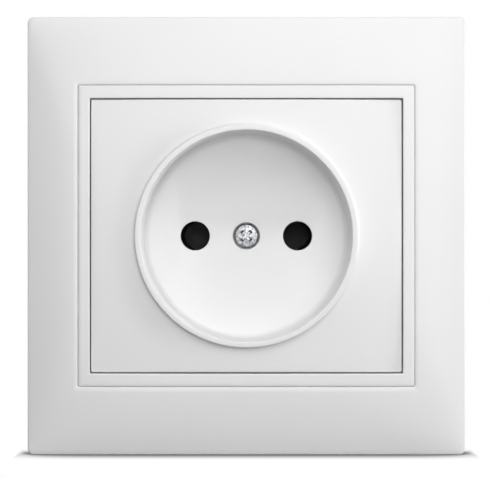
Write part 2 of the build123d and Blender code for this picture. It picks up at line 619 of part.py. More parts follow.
# Electrical pieces of each pole
for name, side in SIDES.items():
    pin_axis = depth_axis(side * PIN_X)

    # Contact: rolled sleeve with a flared mouth and two slits, and a strap up to the terminal
    with BuildPart() as contact:
        with BuildSketch(Plane.XY):
            with BuildLine():
                Polyline(
                    (side * (PIN_X + SLEEVE_R + MOUTH_FLARE), SLEEVE_START),
                    (side * (PIN_X + SLEEVE_R), SLEEVE_START + MOUTH_LENGTH),
                    (side * (PIN_X + SLEEVE_R), SLEEVE_END),
                    (side * (PIN_X + SLEEVE_R + BRASS_SHEET), SLEEVE_END),
                    (side * (PIN_X + SLEEVE_R + BRASS_SHEET), SLEEVE_START + MOUTH_LENGTH),
                    (side * (PIN_X + SLEEVE_R + BRASS_SHEET + MOUTH_FLARE), SLEEVE_START),
                    close=True,
                )
            make_face()
        revolve(axis=pin_axis)
        with BuildSketch(behind(SLEEVE_START)):
            with Locations((side * PIN_X, 0)):
                Rectangle(SLIT_WIDTH, 4 * SLEEVE_R)
        extrude(amount=SLEEVE_START - SLIT_END, mode=Mode.SUBTRACT)
        with BuildSketch(behind(SLEEVE_END)):
            with Locations((side * PIN_X, 0)):
                Circle(STRAP_HALF_WIDTH)
            with Locations((side * PIN_X, BLOCK_TOP / 2)):
                Rectangle(2 * STRAP_HALF_WIDTH, BLOCK_TOP)
            with Locations((side * PIN_X, 0)):
                Circle(SLEEVE_R, mode=Mode.SUBTRACT)
            with Locations((side * PIN_X, WIRE_Z)):
                Circle(WIRE_HOLE_R, mode=Mode.SUBTRACT)
        extrude(amount=-STRAP_SHEET)
    contact.part.label = f"contact_{name}"
    export_step(contact.part, f"parts/contact_{name}.step")

    # Contact spring: split steel ring round the sleeve
    with BuildPart() as contact_spring:
        with BuildSketch(behind(SPRING_START)):
            with Locations((side * PIN_X, 0)):
                Circle(SLEEVE_R + BRASS_SHEET + RUNNING + SPRING_SHEET)
                Circle(SLEEVE_R + BRASS_SHEET + RUNNING, mode=Mode.SUBTRACT)
            with Locations((side * PIN_X, -SLEEVE_R - BRASS_SHEET)):
                Rectangle(SPRING_OPENING, 2 * SLEEVE_R, mode=Mode.SUBTRACT)
        extrude(amount=SPRING_START - SPRING_END)
    contact_spring.part.label = f"contact_spring_{name}"
    export_step(contact_spring.part, f"parts/contact_spring_{name}.step")

    # Terminal block: brass, with a wire bore from behind and a screw from above
    with BuildPart() as terminal_block:
        with BuildSketch(behind(BLOCK_START)):
            with Locations((side * PIN_X, (BLOCK_BOTTOM + BLOCK_TOP) / 2)):
                Rectangle(BLOCK_WIDTH, BLOCK_TOP - BLOCK_BOTTOM)
        extrude(amount=BLOCK_START - SLEEVE_END)
        with BuildSketch(behind(BLOCK_BORE_END)):
            with Locations((side * PIN_X, WIRE_Z)):
                Circle(BLOCK_BORE_R)
        extrude(amount=BLOCK_BORE_END - SLEEVE_END, mode=Mode.SUBTRACT)
        with BuildSketch(Plane.XY.offset(WIRE_Z)):
            with Locations((side * PIN_X, TERMINAL_SCREW_Y)):
                Circle(TERMINAL_SCREW_R + SEATED)
        extrude(amount=BLOCK_TOP - WIRE_Z, mode=Mode.SUBTRACT)
    terminal_block.part.label = f"terminal_block_{name}"
    export_step(terminal_block.part, f"parts/terminal_block_{name}.step")

    # Terminal screw: slotted cheese head, its tip reaching into the wire bore
    with BuildPart() as terminal_screw:
        with BuildSketch(Plane.XY.offset(TERMINAL_TIP_Z)):
            with Locations((side * PIN_X, TERMINAL_SCREW_Y)):
                Circle(TERMINAL_SCREW_R)
        extrude(amount=TERMINAL_HEAD_Z - TERMINAL_TIP_Z)
        with BuildSketch(Plane.XY.offset(TERMINAL_HEAD_Z)):
            with Locations((side * PIN_X, TERMINAL_SCREW_Y)):
                Circle(TERMINAL_HEAD_R)
        extrude(amount=TERMINAL_HEAD)
        with BuildSketch(Plane.XY.offset(TERMINAL_HEAD_Z + TERMINAL_HEAD)):
            with Locations((side * PIN_X, TERMINAL_SCREW_Y)):
                Rectangle(SLOT_CUT, 3 * TERMINAL_HEAD_R)
        extrude(amount=-SLOT_CUT_DEPTH, mode=Mode.SUBTRACT)
    terminal_screw.part.label = f"terminal_screw_{name}"
    export_step(terminal_screw.part, f"parts/terminal_screw_{name}.step")


# Claw mechanism of each side
for name, side in SIDES.items():

    def from_pivot(outward, inward_depth):
        """A point in the XY plane, measured from the claw's hinge pin."""
        return (side * (CLAW_PIVOT_X + outward), CLAW_PIVOT_Y + inward_depth)

    cheek_low = CLAW_HALF_WIDTH - CLAW_SHEET

    # Claw: U-shaped stamping with two toothed cheeks, a web, and a forked flange for the nut
    with BuildPart() as claw:
        for cheek_z in (cheek_low, -CLAW_HALF_WIDTH):
            with BuildSketch(Plane.XY.offset(cheek_z)):
                with BuildLine():
                    Polyline(*[from_pivot(*point) for point in CHEEK_OUTLINE], close=True)
                make_face()
                with Locations(from_pivot(0, 0)):
                    Circle(HINGE_PIN_R + RUNNING, mode=Mode.SUBTRACT)
            extrude(amount=CLAW_SHEET)
        with BuildSketch(Plane.XY.offset(-cheek_low)):
            with BuildLine():
                Polyline(
                    from_pivot(WEB_BACK, WEB_START),
                    from_pivot(WEB_BACK, CLAW_LENGTH),
                    from_pivot(WEB_BACK + CLAW_SHEET, CLAW_LENGTH),
                    from_pivot(WEB_BACK + CLAW_SHEET, WEB_START),
                    close=True,
                )
            make_face()
            with BuildLine():
                Polyline(
                    from_pivot(FLANGE_START, -CLAW_SHEET / 2),
                    from_pivot(FLANGE_START, CLAW_SHEET / 2),
                    from_pivot(FLANGE_END, CLAW_SHEET / 2),
                    from_pivot(FLANGE_END, -CLAW_SHEET / 2),
                    close=True,
                )
            make_face()
        extrude(amount=2 * cheek_low)
        fork_end = side * (CLAW_PIVOT_X + FORK_END)
        fork_start = side * (CLAW_PIVOT_X + FLANGE_START)
        with BuildSketch(behind(CLAW_PIVOT_Y)):
            with Locations(((fork_start + fork_end) / 2, 0)):
                Rectangle(FORK_END - FLANGE_START, 2 * CLAW_SCREW_R + 2 * FORK_PLAY)
        extrude(amount=CLAW_SHEET, both=True, mode=Mode.SUBTRACT)
    claw.part.label = f"claw_{name}"
    export_step(claw.part, f"parts/claw_{name}.step")

    # Hinge pin, riveted over outside the lugs
    with BuildPart() as claw_pin:
        lug_outside = LUG_INSIDE + SHEET
        with BuildSketch(Plane.XY.offset(-lug_outside)):
            with Locations(from_pivot(0, 0)):
                Circle(HINGE_PIN_R)
        extrude(amount=2 * lug_outside)
        for head_z in (lug_outside, -lug_outside - HINGE_HEAD):
            with BuildSketch(Plane.XY.offset(head_z)):
                with Locations(from_pivot(0, 0)):
                    Circle(HINGE_HEAD_R)
            extrude(amount=HINGE_HEAD)
    claw_pin.part.label = f"claw_pin_{name}"
    export_step(claw_pin.part, f"parts/claw_pin_{name}.step")

    # Barrel nut behind the claw's fork
    with BuildPart() as claw_nut:
        nut_depth = CLAW_SHEET / 2 + NUT_R + NUT_PLAY
        with BuildSketch(Plane.XY.offset(-NUT_HALF_WIDTH)):
            with Locations(from_pivot(CLAW_SCREW_ARM, nut_depth)):
                Circle(NUT_R)
        extrude(amount=2 * NUT_HALF_WIDTH)
        with BuildSketch(behind(CLAW_PIVOT_Y)):
            with Locations((side * CLAW_SCREW_X, 0)):
                Circle(CLAW_SCREW_R + RUNNING)
        extrude(amount=-nut_depth - NUT_R, mode=Mode.SUBTRACT)
    claw_nut.part.label = f"claw_nut_{name}"
    export_step(claw_nut.part, f"parts/claw_nut_{name}.step")

    # Claw screw: pan head in front of the support plate, with a cross recess
    with BuildPart() as claw_screw:
        with BuildSketch(front(SHEET + SEATED)):
            with Locations((side * CLAW_SCREW_X, 0)):
                Circle(CLAW_HEAD_R)
        extrude(amount=CLAW_HEAD_THICKNESS)
        pan_rim = claw_screw.edges().filter_by(GeomType.CIRCLE).sort_by(Axis.Y)[0]
        chamfer(pan_rim, PAN_CHAMFER)
        with BuildSketch(front(SHEET + SEATED)):
            with Locations((side * CLAW_SCREW_X, 0)):
                Circle(CLAW_SCREW_R)
        extrude(amount=-CLAW_SCREW_LENGTH)
        with BuildSketch(front(SHEET + SEATED + CLAW_HEAD_THICKNESS)):
            with Locations((side * CLAW_SCREW_X, 0)):
                Rectangle(CROSS_SPAN, CROSS_SLOT, rotation=CROSS_TURN)
                Rectangle(CROSS_SLOT, CROSS_SPAN, rotation=CROSS_TURN)
        extrude(amount=-CROSS_DEPTH, taper=CROSS_TAPER, mode=Mode.SUBTRACT)
    claw_screw.part.label = f"claw_screw_{name}"
    export_step(claw_screw.part, f"parts/claw_screw_{name}.step")
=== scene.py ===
"""Dressed model of a flush wall socket for two round pins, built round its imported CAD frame.

Pieces are drawn in millimetres and turned to metres when they are installed.
The origin is the centre of the cover frame on the wall's surface, +X is to the right, +Z is up,
and the front faces -Y. A height is a distance in front of the wall, a depth a distance behind it.
"""
import json
import logging
import math
from collections.abc import Callable, Iterator
from contextlib import contextmanager
from dataclasses import dataclass, field
from enum import Enum

import bmesh
import bpy
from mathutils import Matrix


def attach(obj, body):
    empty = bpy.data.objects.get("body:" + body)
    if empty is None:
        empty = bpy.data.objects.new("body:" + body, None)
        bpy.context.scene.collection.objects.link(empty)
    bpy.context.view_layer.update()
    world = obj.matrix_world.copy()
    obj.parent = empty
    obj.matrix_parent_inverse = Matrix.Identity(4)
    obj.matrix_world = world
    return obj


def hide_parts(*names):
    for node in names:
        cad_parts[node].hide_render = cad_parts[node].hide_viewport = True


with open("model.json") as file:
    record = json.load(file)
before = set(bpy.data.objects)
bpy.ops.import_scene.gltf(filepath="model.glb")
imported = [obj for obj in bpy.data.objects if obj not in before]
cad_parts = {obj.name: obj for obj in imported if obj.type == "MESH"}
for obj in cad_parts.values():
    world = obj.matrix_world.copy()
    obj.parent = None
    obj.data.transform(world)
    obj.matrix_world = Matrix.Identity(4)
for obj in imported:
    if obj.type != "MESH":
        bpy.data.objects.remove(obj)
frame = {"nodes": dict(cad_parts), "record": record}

log = logging.getLogger("wall_socket")

MM = 0.001
SMOOTH_ANGLE = math.radians(32)
# How far a tool body reaches past the piece that it cuts, and past the face of a wall that it joins or opens
REACH = 1.0
OVERLAP = 0.5
# Radius of the smallest circle of a turned piece, which one face closes
CLOSED = 0.05
# Where a small rounding has its loops, in degrees
THREE_FLATS = (30, 60, 90)

Place = tuple[float, float, float]
Surface = Callable[[float, float], float]


class Cut(Enum):
    """What a tool body does to the piece it is put through."""

    TAKE_AWAY = "DIFFERENCE"
    JOIN = "UNION"


class Drive(Enum):
    """How a screwdriver grips a screw's head."""

    CROSS = "cross"
    SLOT = "slot"


class Side(Enum):
    """The two mirrored halves of the mechanism."""

    LEFT = -1
    RIGHT = 1

    @property
    def word(self) -> str:
        """The side's name as the CAD nodes write it."""
        return self.name.lower()


# --------------------------------------------------------------------------- editing


@contextmanager
def editing(piece: bpy.types.Object) -> Iterator[None]:
    """Open one piece in edit mode with nothing selected, and close it again.

    Args:
        piece: The mesh object to edit.

    Returns:
        A context in which the edit operators act on this piece alone.
    """
    bpy.ops.object.select_all(action="DESELECT")
    bpy.context.view_layer.objects.active = piece
    piece.select_set(True)
    bpy.ops.object.mode_set(mode="EDIT")
    bpy.ops.mesh.select_mode(type="VERT")
    bpy.ops.mesh.select_all(action="DESELECT")
    yield
    bpy.ops.object.mode_set(mode="OBJECT")


@contextmanager
def open_mesh(piece: bpy.types.Object) -> Iterator[bmesh.types.BMesh]:
    """Open the mesh of a piece in edit mode, and take over what was changed in it.

    Args:
        piece: The mesh object in edit mode.

    Returns:
        A context with the mesh's vertices, edges and faces.
    """
    mesh = bmesh.from_edit_mesh(piece.data)
    yield mesh
    bmesh.update_edit_mesh(piece.data)


def face_outward() -> None:
    """Turn every face of the piece in edit mode outwards."""
    bpy.ops.mesh.select_all(action="SELECT")
    bpy.ops.mesh.normals_make_consistent(inside=False)


def new_piece(name: str, mesh: bpy.types.Mesh | None = None) -> bpy.types.Object:
    """Add a mesh object at the origin.

    Args:
        name: Its name.
        mesh: The mesh it shows, or None for an empty one.

    Returns:
        The new object.
    """
    piece = bpy.data.objects.new(name, mesh or bpy.data.meshes.new(name))
    bpy.context.scene.collection.objects.link(piece)
    return piece


def apply_modifier(piece: bpy.types.Object, kind: str, **settings: object) -> None:
    """Give a piece a modifier and apply it.

    Args:
        piece: The mesh object to change.
        kind: The modifier's type.
        **settings: Its settings.
    """
    modifier = piece.modifiers.new(kind.lower(), kind)
    for name, value in settings.items():
        setattr(modifier, name, value)
    bpy.ops.object.select_all(action="DESELECT")
    bpy.context.view_layer.objects.active = piece
    piece.select_set(True)
    bpy.ops.object.modifier_apply(modifier=modifier.name)


def put_through(piece: bpy.types.Object, tool: bpy.types.Object, cut: Cut) -> None:
    """Join a tool body to a piece or take it away, and remove the tool body.

    Args:
        piece: The mesh object to change.
        tool: The closed body to join or take away.
        cut: Which of the two.
    """
    apply_modifier(piece, "BOOLEAN", object=tool, operation=cut.value, solver="EXACT")
    mesh = tool.data
    bpy.data.objects.remove(tool)
    bpy.data.meshes.remove(mesh)


def block(low: Place, high: Place) -> bpy.types.Object:
    """A plain box to cut or join with.

    Args:
        low: Its lowest corner.
        high: Its highest corner.

    Returns:
        The box as an object.
    """
    tool = new_piece("tool")
    middle = [(a + b) / 2 for a, b in zip(low, high)]
    with editing(tool):
        bpy.ops.mesh.primitive_cube_add(size=1, location=middle)
        bpy.ops.transform.resize(value=[b - a for a, b in zip(low, high)])
    return tool


def rod(radius: float, x: float, z: float, start: float, end: float, sides: int = 96) -> bpy.types.Object:
    """A plain round bar along the depth axis to cut with.

    Args:
        radius: Its radius.
        x: Its place to the right.
        z: Its place upwards.
        start: The y where it starts.
        end: The y where it ends.
        sides: How many sides stand for its round wall.

    Returns:
        The bar as an object.
    """
    tool = new_piece("tool")
    with editing(tool):
        bpy.ops.mesh.primitive_cylinder_add(
            vertices=sides,
            radius=radius,
            depth=abs(end - start),
            location=(x, (start + end) / 2, z),
            rotation=(math.pi / 2, 0, 0),
        )
    return tool


def round_edges(piece: bpy.types.Object, chosen: Callable[[bmesh.types.BMEdge], bool], width: float,
                segments: int = 3) -> None:
    """Round the edges that a test picks out.

    Args:
        piece: The mesh object to change.
        chosen: Says for an edge whether it is rounded.
        width: How far the rounding reaches on each side.
        segments: How many flats it is made of.
    """
    with editing(piece):
        with open_mesh(piece) as mesh:
            for edge in mesh.edges:
                if chosen(edge):
                    edge.select_set(True)
        bpy.ops.mesh.select_mode(type="EDGE")
        bpy.ops.mesh.bevel(offset=width, segments=segments, affect="EDGES", clamp_overlap=True)


# --------------------------------------------------------------------------- outlines and skins


@dataclass(frozen=True)
class Outline:
    """A rectangle with round corners, or a circle, as it is seen from the front."""

    half_width: float
    half_tall: float
    corner: float = 0.0

    @property
    def is_circle(self) -> bool:
        """Whether the corners have grown into one circle."""
        return self.corner >= self.half_width

    def inset(self, amount: float) -> "Outline":
        """The outline that lies this far inside."""
        return Outline(self.half_width - amount, self.half_tall - amount, max(self.corner - amount, 0.05))

    def toward(self, other: "Outline", share: float) -> "Outline":
        """The outline this share of the way to another one."""
        return Outline(
            self.half_width + share * (other.half_width - self.half_width),
            self.half_tall + share * (other.half_tall - self.half_tall),
            self.corner + share * (other.corner - self.corner),
        )


def ring(radius: float) -> Outline:
    """A circle as an outline."""
    return Outline(radius, radius, radius)


# The loops of a skin, each with its height or with the surface that it lies on
Steps = list[tuple[Outline, float | Surface]]


@dataclass
class StackedSkin:
    """A closed skin of loops round the depth axis, each bridged to the one before it.

    The loops are drawn as a tall stack, so that no two lie in one plane while they are bridged,
    and are brought to their own heights when the stack is complete.
    """

    name: str
    piece: bpy.types.Object = field(init=False)
    loops: int = field(init=False, default=0)
    stack_step: float = field(init=False, default=8.0)

    def __post_init__(self) -> None:
        """Add the empty mesh object that the loops are drawn in."""
        self.piece = new_piece(self.name)

    def add_loop(self, outline: Outline, level: float) -> None:
        """Draw one loop of loose edges.

        Args:
            outline: The loop's shape.
            level: Its height in the stack.
        """
        raise NotImplementedError

    def draw(self, steps: Steps, capped: bool = False) -> bpy.types.Object:
        """Draw and bridge the loops, close the skin and bring each loop to its height.

        Args:
            steps: An outline for each loop, with its height or the surface that it lies on.
            capped: Whether faces fill the first and last loops, which are bridged otherwise.

        Returns:
            The mesh object.
        """
        with editing(self.piece):
            for outline, _ in steps:
                bpy.ops.mesh.select_all(action="DESELECT")
                self.add_loop(outline, self.loops * self.stack_step)
                self._number_loop()
                if self.loops > 1:
                    self._select(self.loops - 1, self.loops)
                    bpy.ops.mesh.bridge_edge_loops()
            if capped:
                for number in (1, self.loops):
                    self._select(number)
                    bpy.ops.mesh.edge_face_add()
            else:
                self._select(1, self.loops)
                bpy.ops.mesh.bridge_edge_loops()
            self._settle([height for _, height in steps])
            face_outward()
        return self.piece

    def _number_loop(self) -> None:
        """Mark the vertices that have no number yet as the next loop."""
        with open_mesh(self.piece) as mesh:
            if not mesh.verts.layers.int.get("loop"):
                mesh.verts.layers.int.new("loop")
            layer = mesh.verts.layers.int["loop"]
            self.loops += 1
            for vert in mesh.verts:
                if vert[layer] == 0:
                    vert[layer] = self.loops

    def _settle(self, heights: list[float | Surface]) -> None:
        """Bring each loop from its place in the stack to its own height.

        Args:
            heights: A height or a surface for each loop.
        """
        with open_mesh(self.piece) as mesh:
            layer = mesh.verts.layers.int["loop"]
            for vert in mesh.verts:
                height = heights[vert[layer] - 1]
                vert.co.y = -(height(vert.co.x, vert.co.z) if callable(height) else height)

    def _select(self, *numbers: int) -> None:
        """Select the vertices and edges of some loops and nothing else.

        Args:
            *numbers: The loops' numbers, from 1.
        """
        bpy.ops.mesh.select_all(action="DESELECT")
        with open_mesh(self.piece) as mesh:
            layer = mesh.verts.layers.int["loop"]
            for vert in mesh.verts:
                vert.select_set(vert[layer] in numbers)
            mesh.select_flush(True)


@dataclass
class MouldedSkin(StackedSkin):
    """A skin whose loops are rectangles with round corners, or circles with as many points.

    A circle starts as the guide outline, whose points are then pushed out to its radius.
    """

    corner_segments: int = 6
    side_cuts: int = 19
    guide: Outline = Outline(28.0, 25.0, 0.5)

    def add_loop(self, outline: Outline, level: float) -> None:
        """Draw one loop from a plane: round its corners, divide its sides, and drop its face.

        Args:
            outline: The loop's shape.
            level: Its height in the stack.
        """
        shape = self.guide if outline.is_circle else outline
        bpy.ops.mesh.primitive_plane_add(size=2, location=(0, -level, 0), rotation=(math.pi / 2, 0, 0))
        bpy.ops.transform.resize(value=(shape.half_width, 1, shape.half_tall))
        bpy.ops.mesh.bevel(offset=shape.corner, segments=self.corner_segments, affect="VERTICES")
        bpy.ops.mesh.select_all(action="DESELECT")
        with open_mesh(self.piece) as mesh:
            edges = {edge for vert in self._fresh(mesh) for edge in vert.link_edges}
            for edge in sorted(edges, key=lambda one: -one.calc_length())[:4]:
                edge.select_set(True)
        bpy.ops.mesh.select_mode(type="EDGE")
        bpy.ops.mesh.subdivide(number_cuts=self.side_cuts)
        bpy.ops.mesh.select_mode(type="VERT")
        bpy.ops.mesh.select_all(action="DESELECT")
        with open_mesh(self.piece) as mesh:
            for vert in self._fresh(mesh):
                vert.select_set(True)
            mesh.select_flush(True)
        bpy.ops.mesh.delete(type="ONLY_FACE")
        if outline.is_circle:
            with open_mesh(self.piece) as mesh:
                for vert in self._fresh(mesh):
                    scale = outline.half_width / math.hypot(vert.co.x, vert.co.z)
                    vert.co.x *= scale
                    vert.co.z *= scale

    def _fresh(self, mesh: bmesh.types.BMesh) -> list[bmesh.types.BMVert]:
        """The vertices of the loop that has no number yet."""
        layer = mesh.verts.layers.int.get("loop")
        return [vert for vert in mesh.verts if not layer or vert[layer] == 0]


@dataclass
class TurnedSkin(StackedSkin):
    """A skin whose loops are circles, as on a piece turned about its own axis."""

    sides: int = 48

    def add_loop(self, outline: Outline, level: float) -> None:
        """Draw one circle.

        Args:
            outline: The circle.
            level: Its height in the stack.
        """
        bpy.ops.mesh.primitive_circle_add(
            vertices=self.sides,
            radius=outline.half_width,
            fill_type="NOTHING",
            location=(0, -level, 0),
            rotation=(math.pi / 2, 0, 0),
        )

    def turn(self, profile: list[tuple[float, float]], tube: bool = False) -> bpy.types.Object:
        """Draw a turned piece from its profile.

        Args:
            profile: Radius and depth of each circle along the axis.
            tube: Whether the last circle joins the first, as on a tube.

        Returns:
            The mesh object.
        """
        return self.draw([(ring(radius), -depth) for radius, depth in profile], capped=not tube)


def move_axis(piece: bpy.types.Object, x: float, y: float, z: float, upright: bool = False) -> None:
    """Bring a turned piece from the depth axis at the origin to its place.

    Args:
        piece: The turned piece.
        x: Its place to the right.
        y: Its place in depth.
        z: Its place upwards.
        upright: Whether its axis stands up, with the head on top.
    """
    with editing(piece):
        bpy.ops.mesh.select_all(action="SELECT")
        if upright:
            bpy.ops.transform.rotate(value=math.pi / 2, orient_axis="X", center_override=(0, 0, 0))
        bpy.ops.transform.translate(value=(x, y, z))


def rounding(outline: Outline, height: float, radius: float, first: float, last: float,
             steps: int = 4) -> list[tuple[Outline, float]]:
    """Loops of a rounding that ends flush with an outline and with a height.

    Args:
        outline: The outline that the upright wall follows.
        height: The height of the level face.
        radius: The rounding's radius, negative where it rounds an opening's edge.
        first: The angle in degrees at which it starts, 0 on the wall and 90 on the level face.
        last: The angle at which it ends.
        steps: How many flats it has.

    Returns:
        The loops with their heights.
    """
    loops = []
    for step in range(steps + 1):
        angle = math.radians(first + (last - first) * step / steps)
        inset = radius * (1 - math.cos(angle))
        loops.append((outline.inset(inset), height - abs(radius) * (1 - math.sin(angle))))
    return loops


# --------------------------------------------------------------------------- materials


def linear(hex_colour: str) -> tuple[float, float, float, float]:
    """Turn an sRGB hex colour into linear red, green, blue and alpha.

    Args:
        hex_colour: The colour as #RRGGBB.

    Returns:
        The linear values that a shader's colour socket takes.
    """
    channels = [int(hex_colour[start:start + 2], 16) / 255 for start in (1, 3, 5)]
    red, green, blue = [c / 12.92 if c <= 0.04045 else ((c + 0.055) / 1.055) ** 2.4 for c in channels]
    return red, green, blue, 1.0


def add_node(tree: bpy.types.NodeTree, kind: str, inputs: dict[str | int, object] | None = None,
             **settings: object) -> bpy.types.Node:
    """Add a node, set it up and link it.

    Args:
        tree: The node tree to add it to.
        kind: The node's type.
        inputs: A value or an output socket for each input, which is given by its name or its number.
        **settings: The node's own settings.

    Returns:
        The new node.
    """
    node = tree.nodes.new(kind)
    for name, value in settings.items():
        setattr(node, name, value)
    for name, value in (inputs or {}).items():
        if isinstance(value, bpy.types.NodeSocket):
            tree.links.new(value, node.inputs[name])
        else:
            node.inputs[name].default_value = value
    return node


def per_metre(size_mm: float) -> float:
    """The pattern scale at which one feature is this many millimetres across."""
    return 1.0 / (size_mm * MM)


# Nearly all of a noise pattern's values lie in the first range, and most of them in the second
NOISE_RANGE = (0.3, 0.7)
BLEND_RANGE = (0.35, 0.65)


@dataclass(frozen=True)
class Finish:
    """What every finish has: its name, its record slot and the surface that it starts from."""

    name: str
    slot: str
    colour: str
    tint: str
    roughness: float
    roughness_spread: float

    def material(self) -> bpy.types.Material:
        """Make the material, or give the one that was made before.

        Returns:
            The material with its nodes.
        """
        known = bpy.data.materials.get(self.name)
        if known:
            return known
        material = bpy.data.materials.new(self.name)
        material.use_nodes = True
        material.node_tree.nodes.clear()
        shader = add_node(material.node_tree, "ShaderNodeBsdfPrincipled")
        self.wire(material.node_tree, shader)
        add_node(material.node_tree, "ShaderNodeOutputMaterial", {"Surface": shader.outputs["BSDF"]})
        return material

    def wire(self, tree: bpy.types.NodeTree, shader: bpy.types.Node) -> None:
        """Add the nodes that give this finish its look.

        Args:
            tree: The material's node tree.
            shader: The shader that they lead to.
        """
        raise NotImplementedError

    def cloud(self, tree: bpy.types.NodeTree, size_mm: float, detail: float = 2.0,
              stretch: tuple[float, float, float] = (1.0, 1.0, 1.0)) -> bpy.types.NodeSocket:
        """A soft random pattern from the piece's own coordinates.

        Args:
            tree: The material's node tree.
            size_mm: How large one feature is.
            detail: How many finer layers it has.
            stretch: How much the pattern is squeezed along each axis.

        Returns:
            The pattern's value, from 0 to 1.
        """
        place = add_node(tree, "ShaderNodeTexCoord").outputs["Object"]
        if stretch != (1.0, 1.0, 1.0):
            place = add_node(tree, "ShaderNodeMapping", {"Vector": place, "Scale": stretch}).outputs["Vector"]
        noise = add_node(tree, "ShaderNodeTexNoise",
                         {"Vector": place, "Scale": per_metre(size_mm), "Detail": detail})
        return noise.outputs["Fac"]

    def spread(self, tree: bpy.types.NodeTree, pattern: bpy.types.NodeSocket, middle: float,
               spread: float) -> bpy.types.NodeSocket:
        """Turn a pattern into values either side of a middle one.

        Args:
            tree: The material's node tree.
            pattern: The pattern's value.
            middle: The middle value.
            spread: How far the values reach either side.

        Returns:
            The values.
        """
        node = add_node(tree, "ShaderNodeMapRange", {
            "Value": pattern, "From Min": NOISE_RANGE[0], "From Max": NOISE_RANGE[1],
            "To Min": middle - spread, "To Max": middle + spread,
        })
        return node.outputs["Result"]

    def blend(self, tree: bpy.types.NodeTree, pattern: bpy.types.NodeSocket) -> bpy.types.NodeSocket:
        """Mix the finish's colour with its tint by a pattern.

        Args:
            tree: The material's node tree.
            pattern: The pattern's value.

        Returns:
            The mixed colour.
        """
        ramp = add_node(tree, "ShaderNodeValToRGB", {"Fac": pattern})
        colours = (self.colour, self.tint)
        for stop, position, colour in zip(ramp.color_ramp.elements, BLEND_RANGE, colours):
            stop.position = position
            stop.color = linear(colour)
        return ramp.outputs["Color"]

    def relief(self, tree: bpy.types.NodeTree, pattern: bpy.types.NodeSocket, depth_mm: float,
               strength: float, under: bpy.types.NodeSocket | None = None) -> bpy.types.NodeSocket:
        """Turn a pattern into a slight unevenness of the surface.

        Args:
            tree: The material's node tree.
            pattern: The pattern's value.
            depth_mm: How deep it is from its lowest to its highest point.
            strength: How strongly it shows.
            under: Another unevenness that it lies on.

        Returns:
            The normal to shade with.
        """
        inputs = {"Height": pattern, "Distance": depth_mm * MM, "Strength": strength}
        if under:
            inputs["Normal"] = under
        return add_node(tree, "ShaderNodeBump", inputs).outputs["Normal"]


@dataclass(frozen=True)
class MouldedPlastic(Finish):
    """Injection-moulded plastic: even colour, a polished or spark-eroded skin and faint sink marks."""

    ior: float = 1.53
    grain_mm: float = 0.35
    grain_depth_mm: float = 0.004
    grain_strength: float = 0.6
    sink_mm: float = 9.0
    sink_depth_mm: float = 0.02
    sink_strength: float = 0.5
    polish_mm: float = 3.0

    def wire(self, tree: bpy.types.NodeTree, shader: bpy.types.Node) -> None:
        """Add the mould's grain, the sink marks and the uneven polish.

        Args:
            tree: The material's node tree.
            shader: The shader that they lead to.
        """
        shader.inputs["IOR"].default_value = self.ior
        tree.links.new(self.blend(tree, self.cloud(tree, self.sink_mm)), shader.inputs["Base Color"])
        polish = self.spread(tree, self.cloud(tree, self.polish_mm), self.roughness, self.roughness_spread)
        tree.links.new(polish, shader.inputs["Roughness"])
        sink = self.relief(tree, self.cloud(tree, self.sink_mm, 0.0), self.sink_depth_mm, self.sink_strength)
        grain = self.relief(tree, self.cloud(tree, self.grain_mm), self.grain_depth_mm,
                            self.grain_strength, sink)
        tree.links.new(grain, shader.inputs["Normal"])


@dataclass(frozen=True)
class WorkedMetal(Finish):
    """Stamped, rolled or turned metal: fine drawn lines, soft patches of tone and small dents."""

    line_mm: float = 0.12
    line_stretch: Place = (1.0, 1.0, 0.08)
    line_detail: float = 3.0
    line_depth_mm: float = 0.004
    line_strength: float = 0.5
    patch_mm: float = 1.6
    dent_depth_mm: float = 0.01
    dent_strength: float = 0.35

    def wire(self, tree: bpy.types.NodeTree, shader: bpy.types.Node) -> None:
        """Add the drawn lines, the patches of tone, the small dents and the uneven sheen.

        Args:
            tree: The material's node tree.
            shader: The shader that they lead to.
        """
        shader.inputs["Metallic"].default_value = 1.0
        tree.links.new(self.blend(tree, self.cloud(tree, self.patch_mm)), shader.inputs["Base Color"])
        lines = self.cloud(tree, self.line_mm, self.line_detail, self.line_stretch)
        sheen = self.spread(tree, lines, self.roughness, self.roughness_spread)
        tree.links.new(sheen, shader.inputs["Roughness"])
        dents = self.relief(tree, self.cloud(tree, self.patch_mm / 2), self.dent_depth_mm, self.dent_strength)
        lined = self.relief(tree, lines, self.line_depth_mm, self.line_strength, dents)
        tree.links.new(lined, shader.inputs["Normal"])


# White ABS, moulded in a polished tool: a soft gloss that carries broad highlights without glare.
GLOSS_WHITE_ABS = MouldedPlastic(
    "gloss_moulded_white_abs", "white_cover_plastic", "#E9E9E9", "#E8E8E9", 0.33, 0.01,
    ior=1.53, grain_mm=0.4, grain_depth_mm=0.001, sink_mm=14.0, sink_depth_mm=0.004,
)

# Mineral-filled polyamide, moulded in a spark-eroded tool: dark grey, with a dry, grainy skin.
ERODED_GREY_POLYAMIDE = MouldedPlastic(
    "eroded_dark_grey_filled_polyamide", "body_plastic", "#3F3F40", "#383839", 0.52, 0.06,
    ior=1.53, grain_mm=0.3, grain_depth_mm=0.012, sink_mm=6.0, sink_depth_mm=0.03,
)

# Mild steel, stamped and zinc plated: bluish silver with soft patches where the bath took unevenly.
ZINC_PLATED_STEEL = WorkedMetal(
    "stamped_zinc_plated_steel", "zinc_steel", "#C6C9CC", "#B3B8BD", 0.33, 0.08,
    line_mm=0.15, line_stretch=(0.12, 1.0, 1.0), patch_mm=2.0,
)

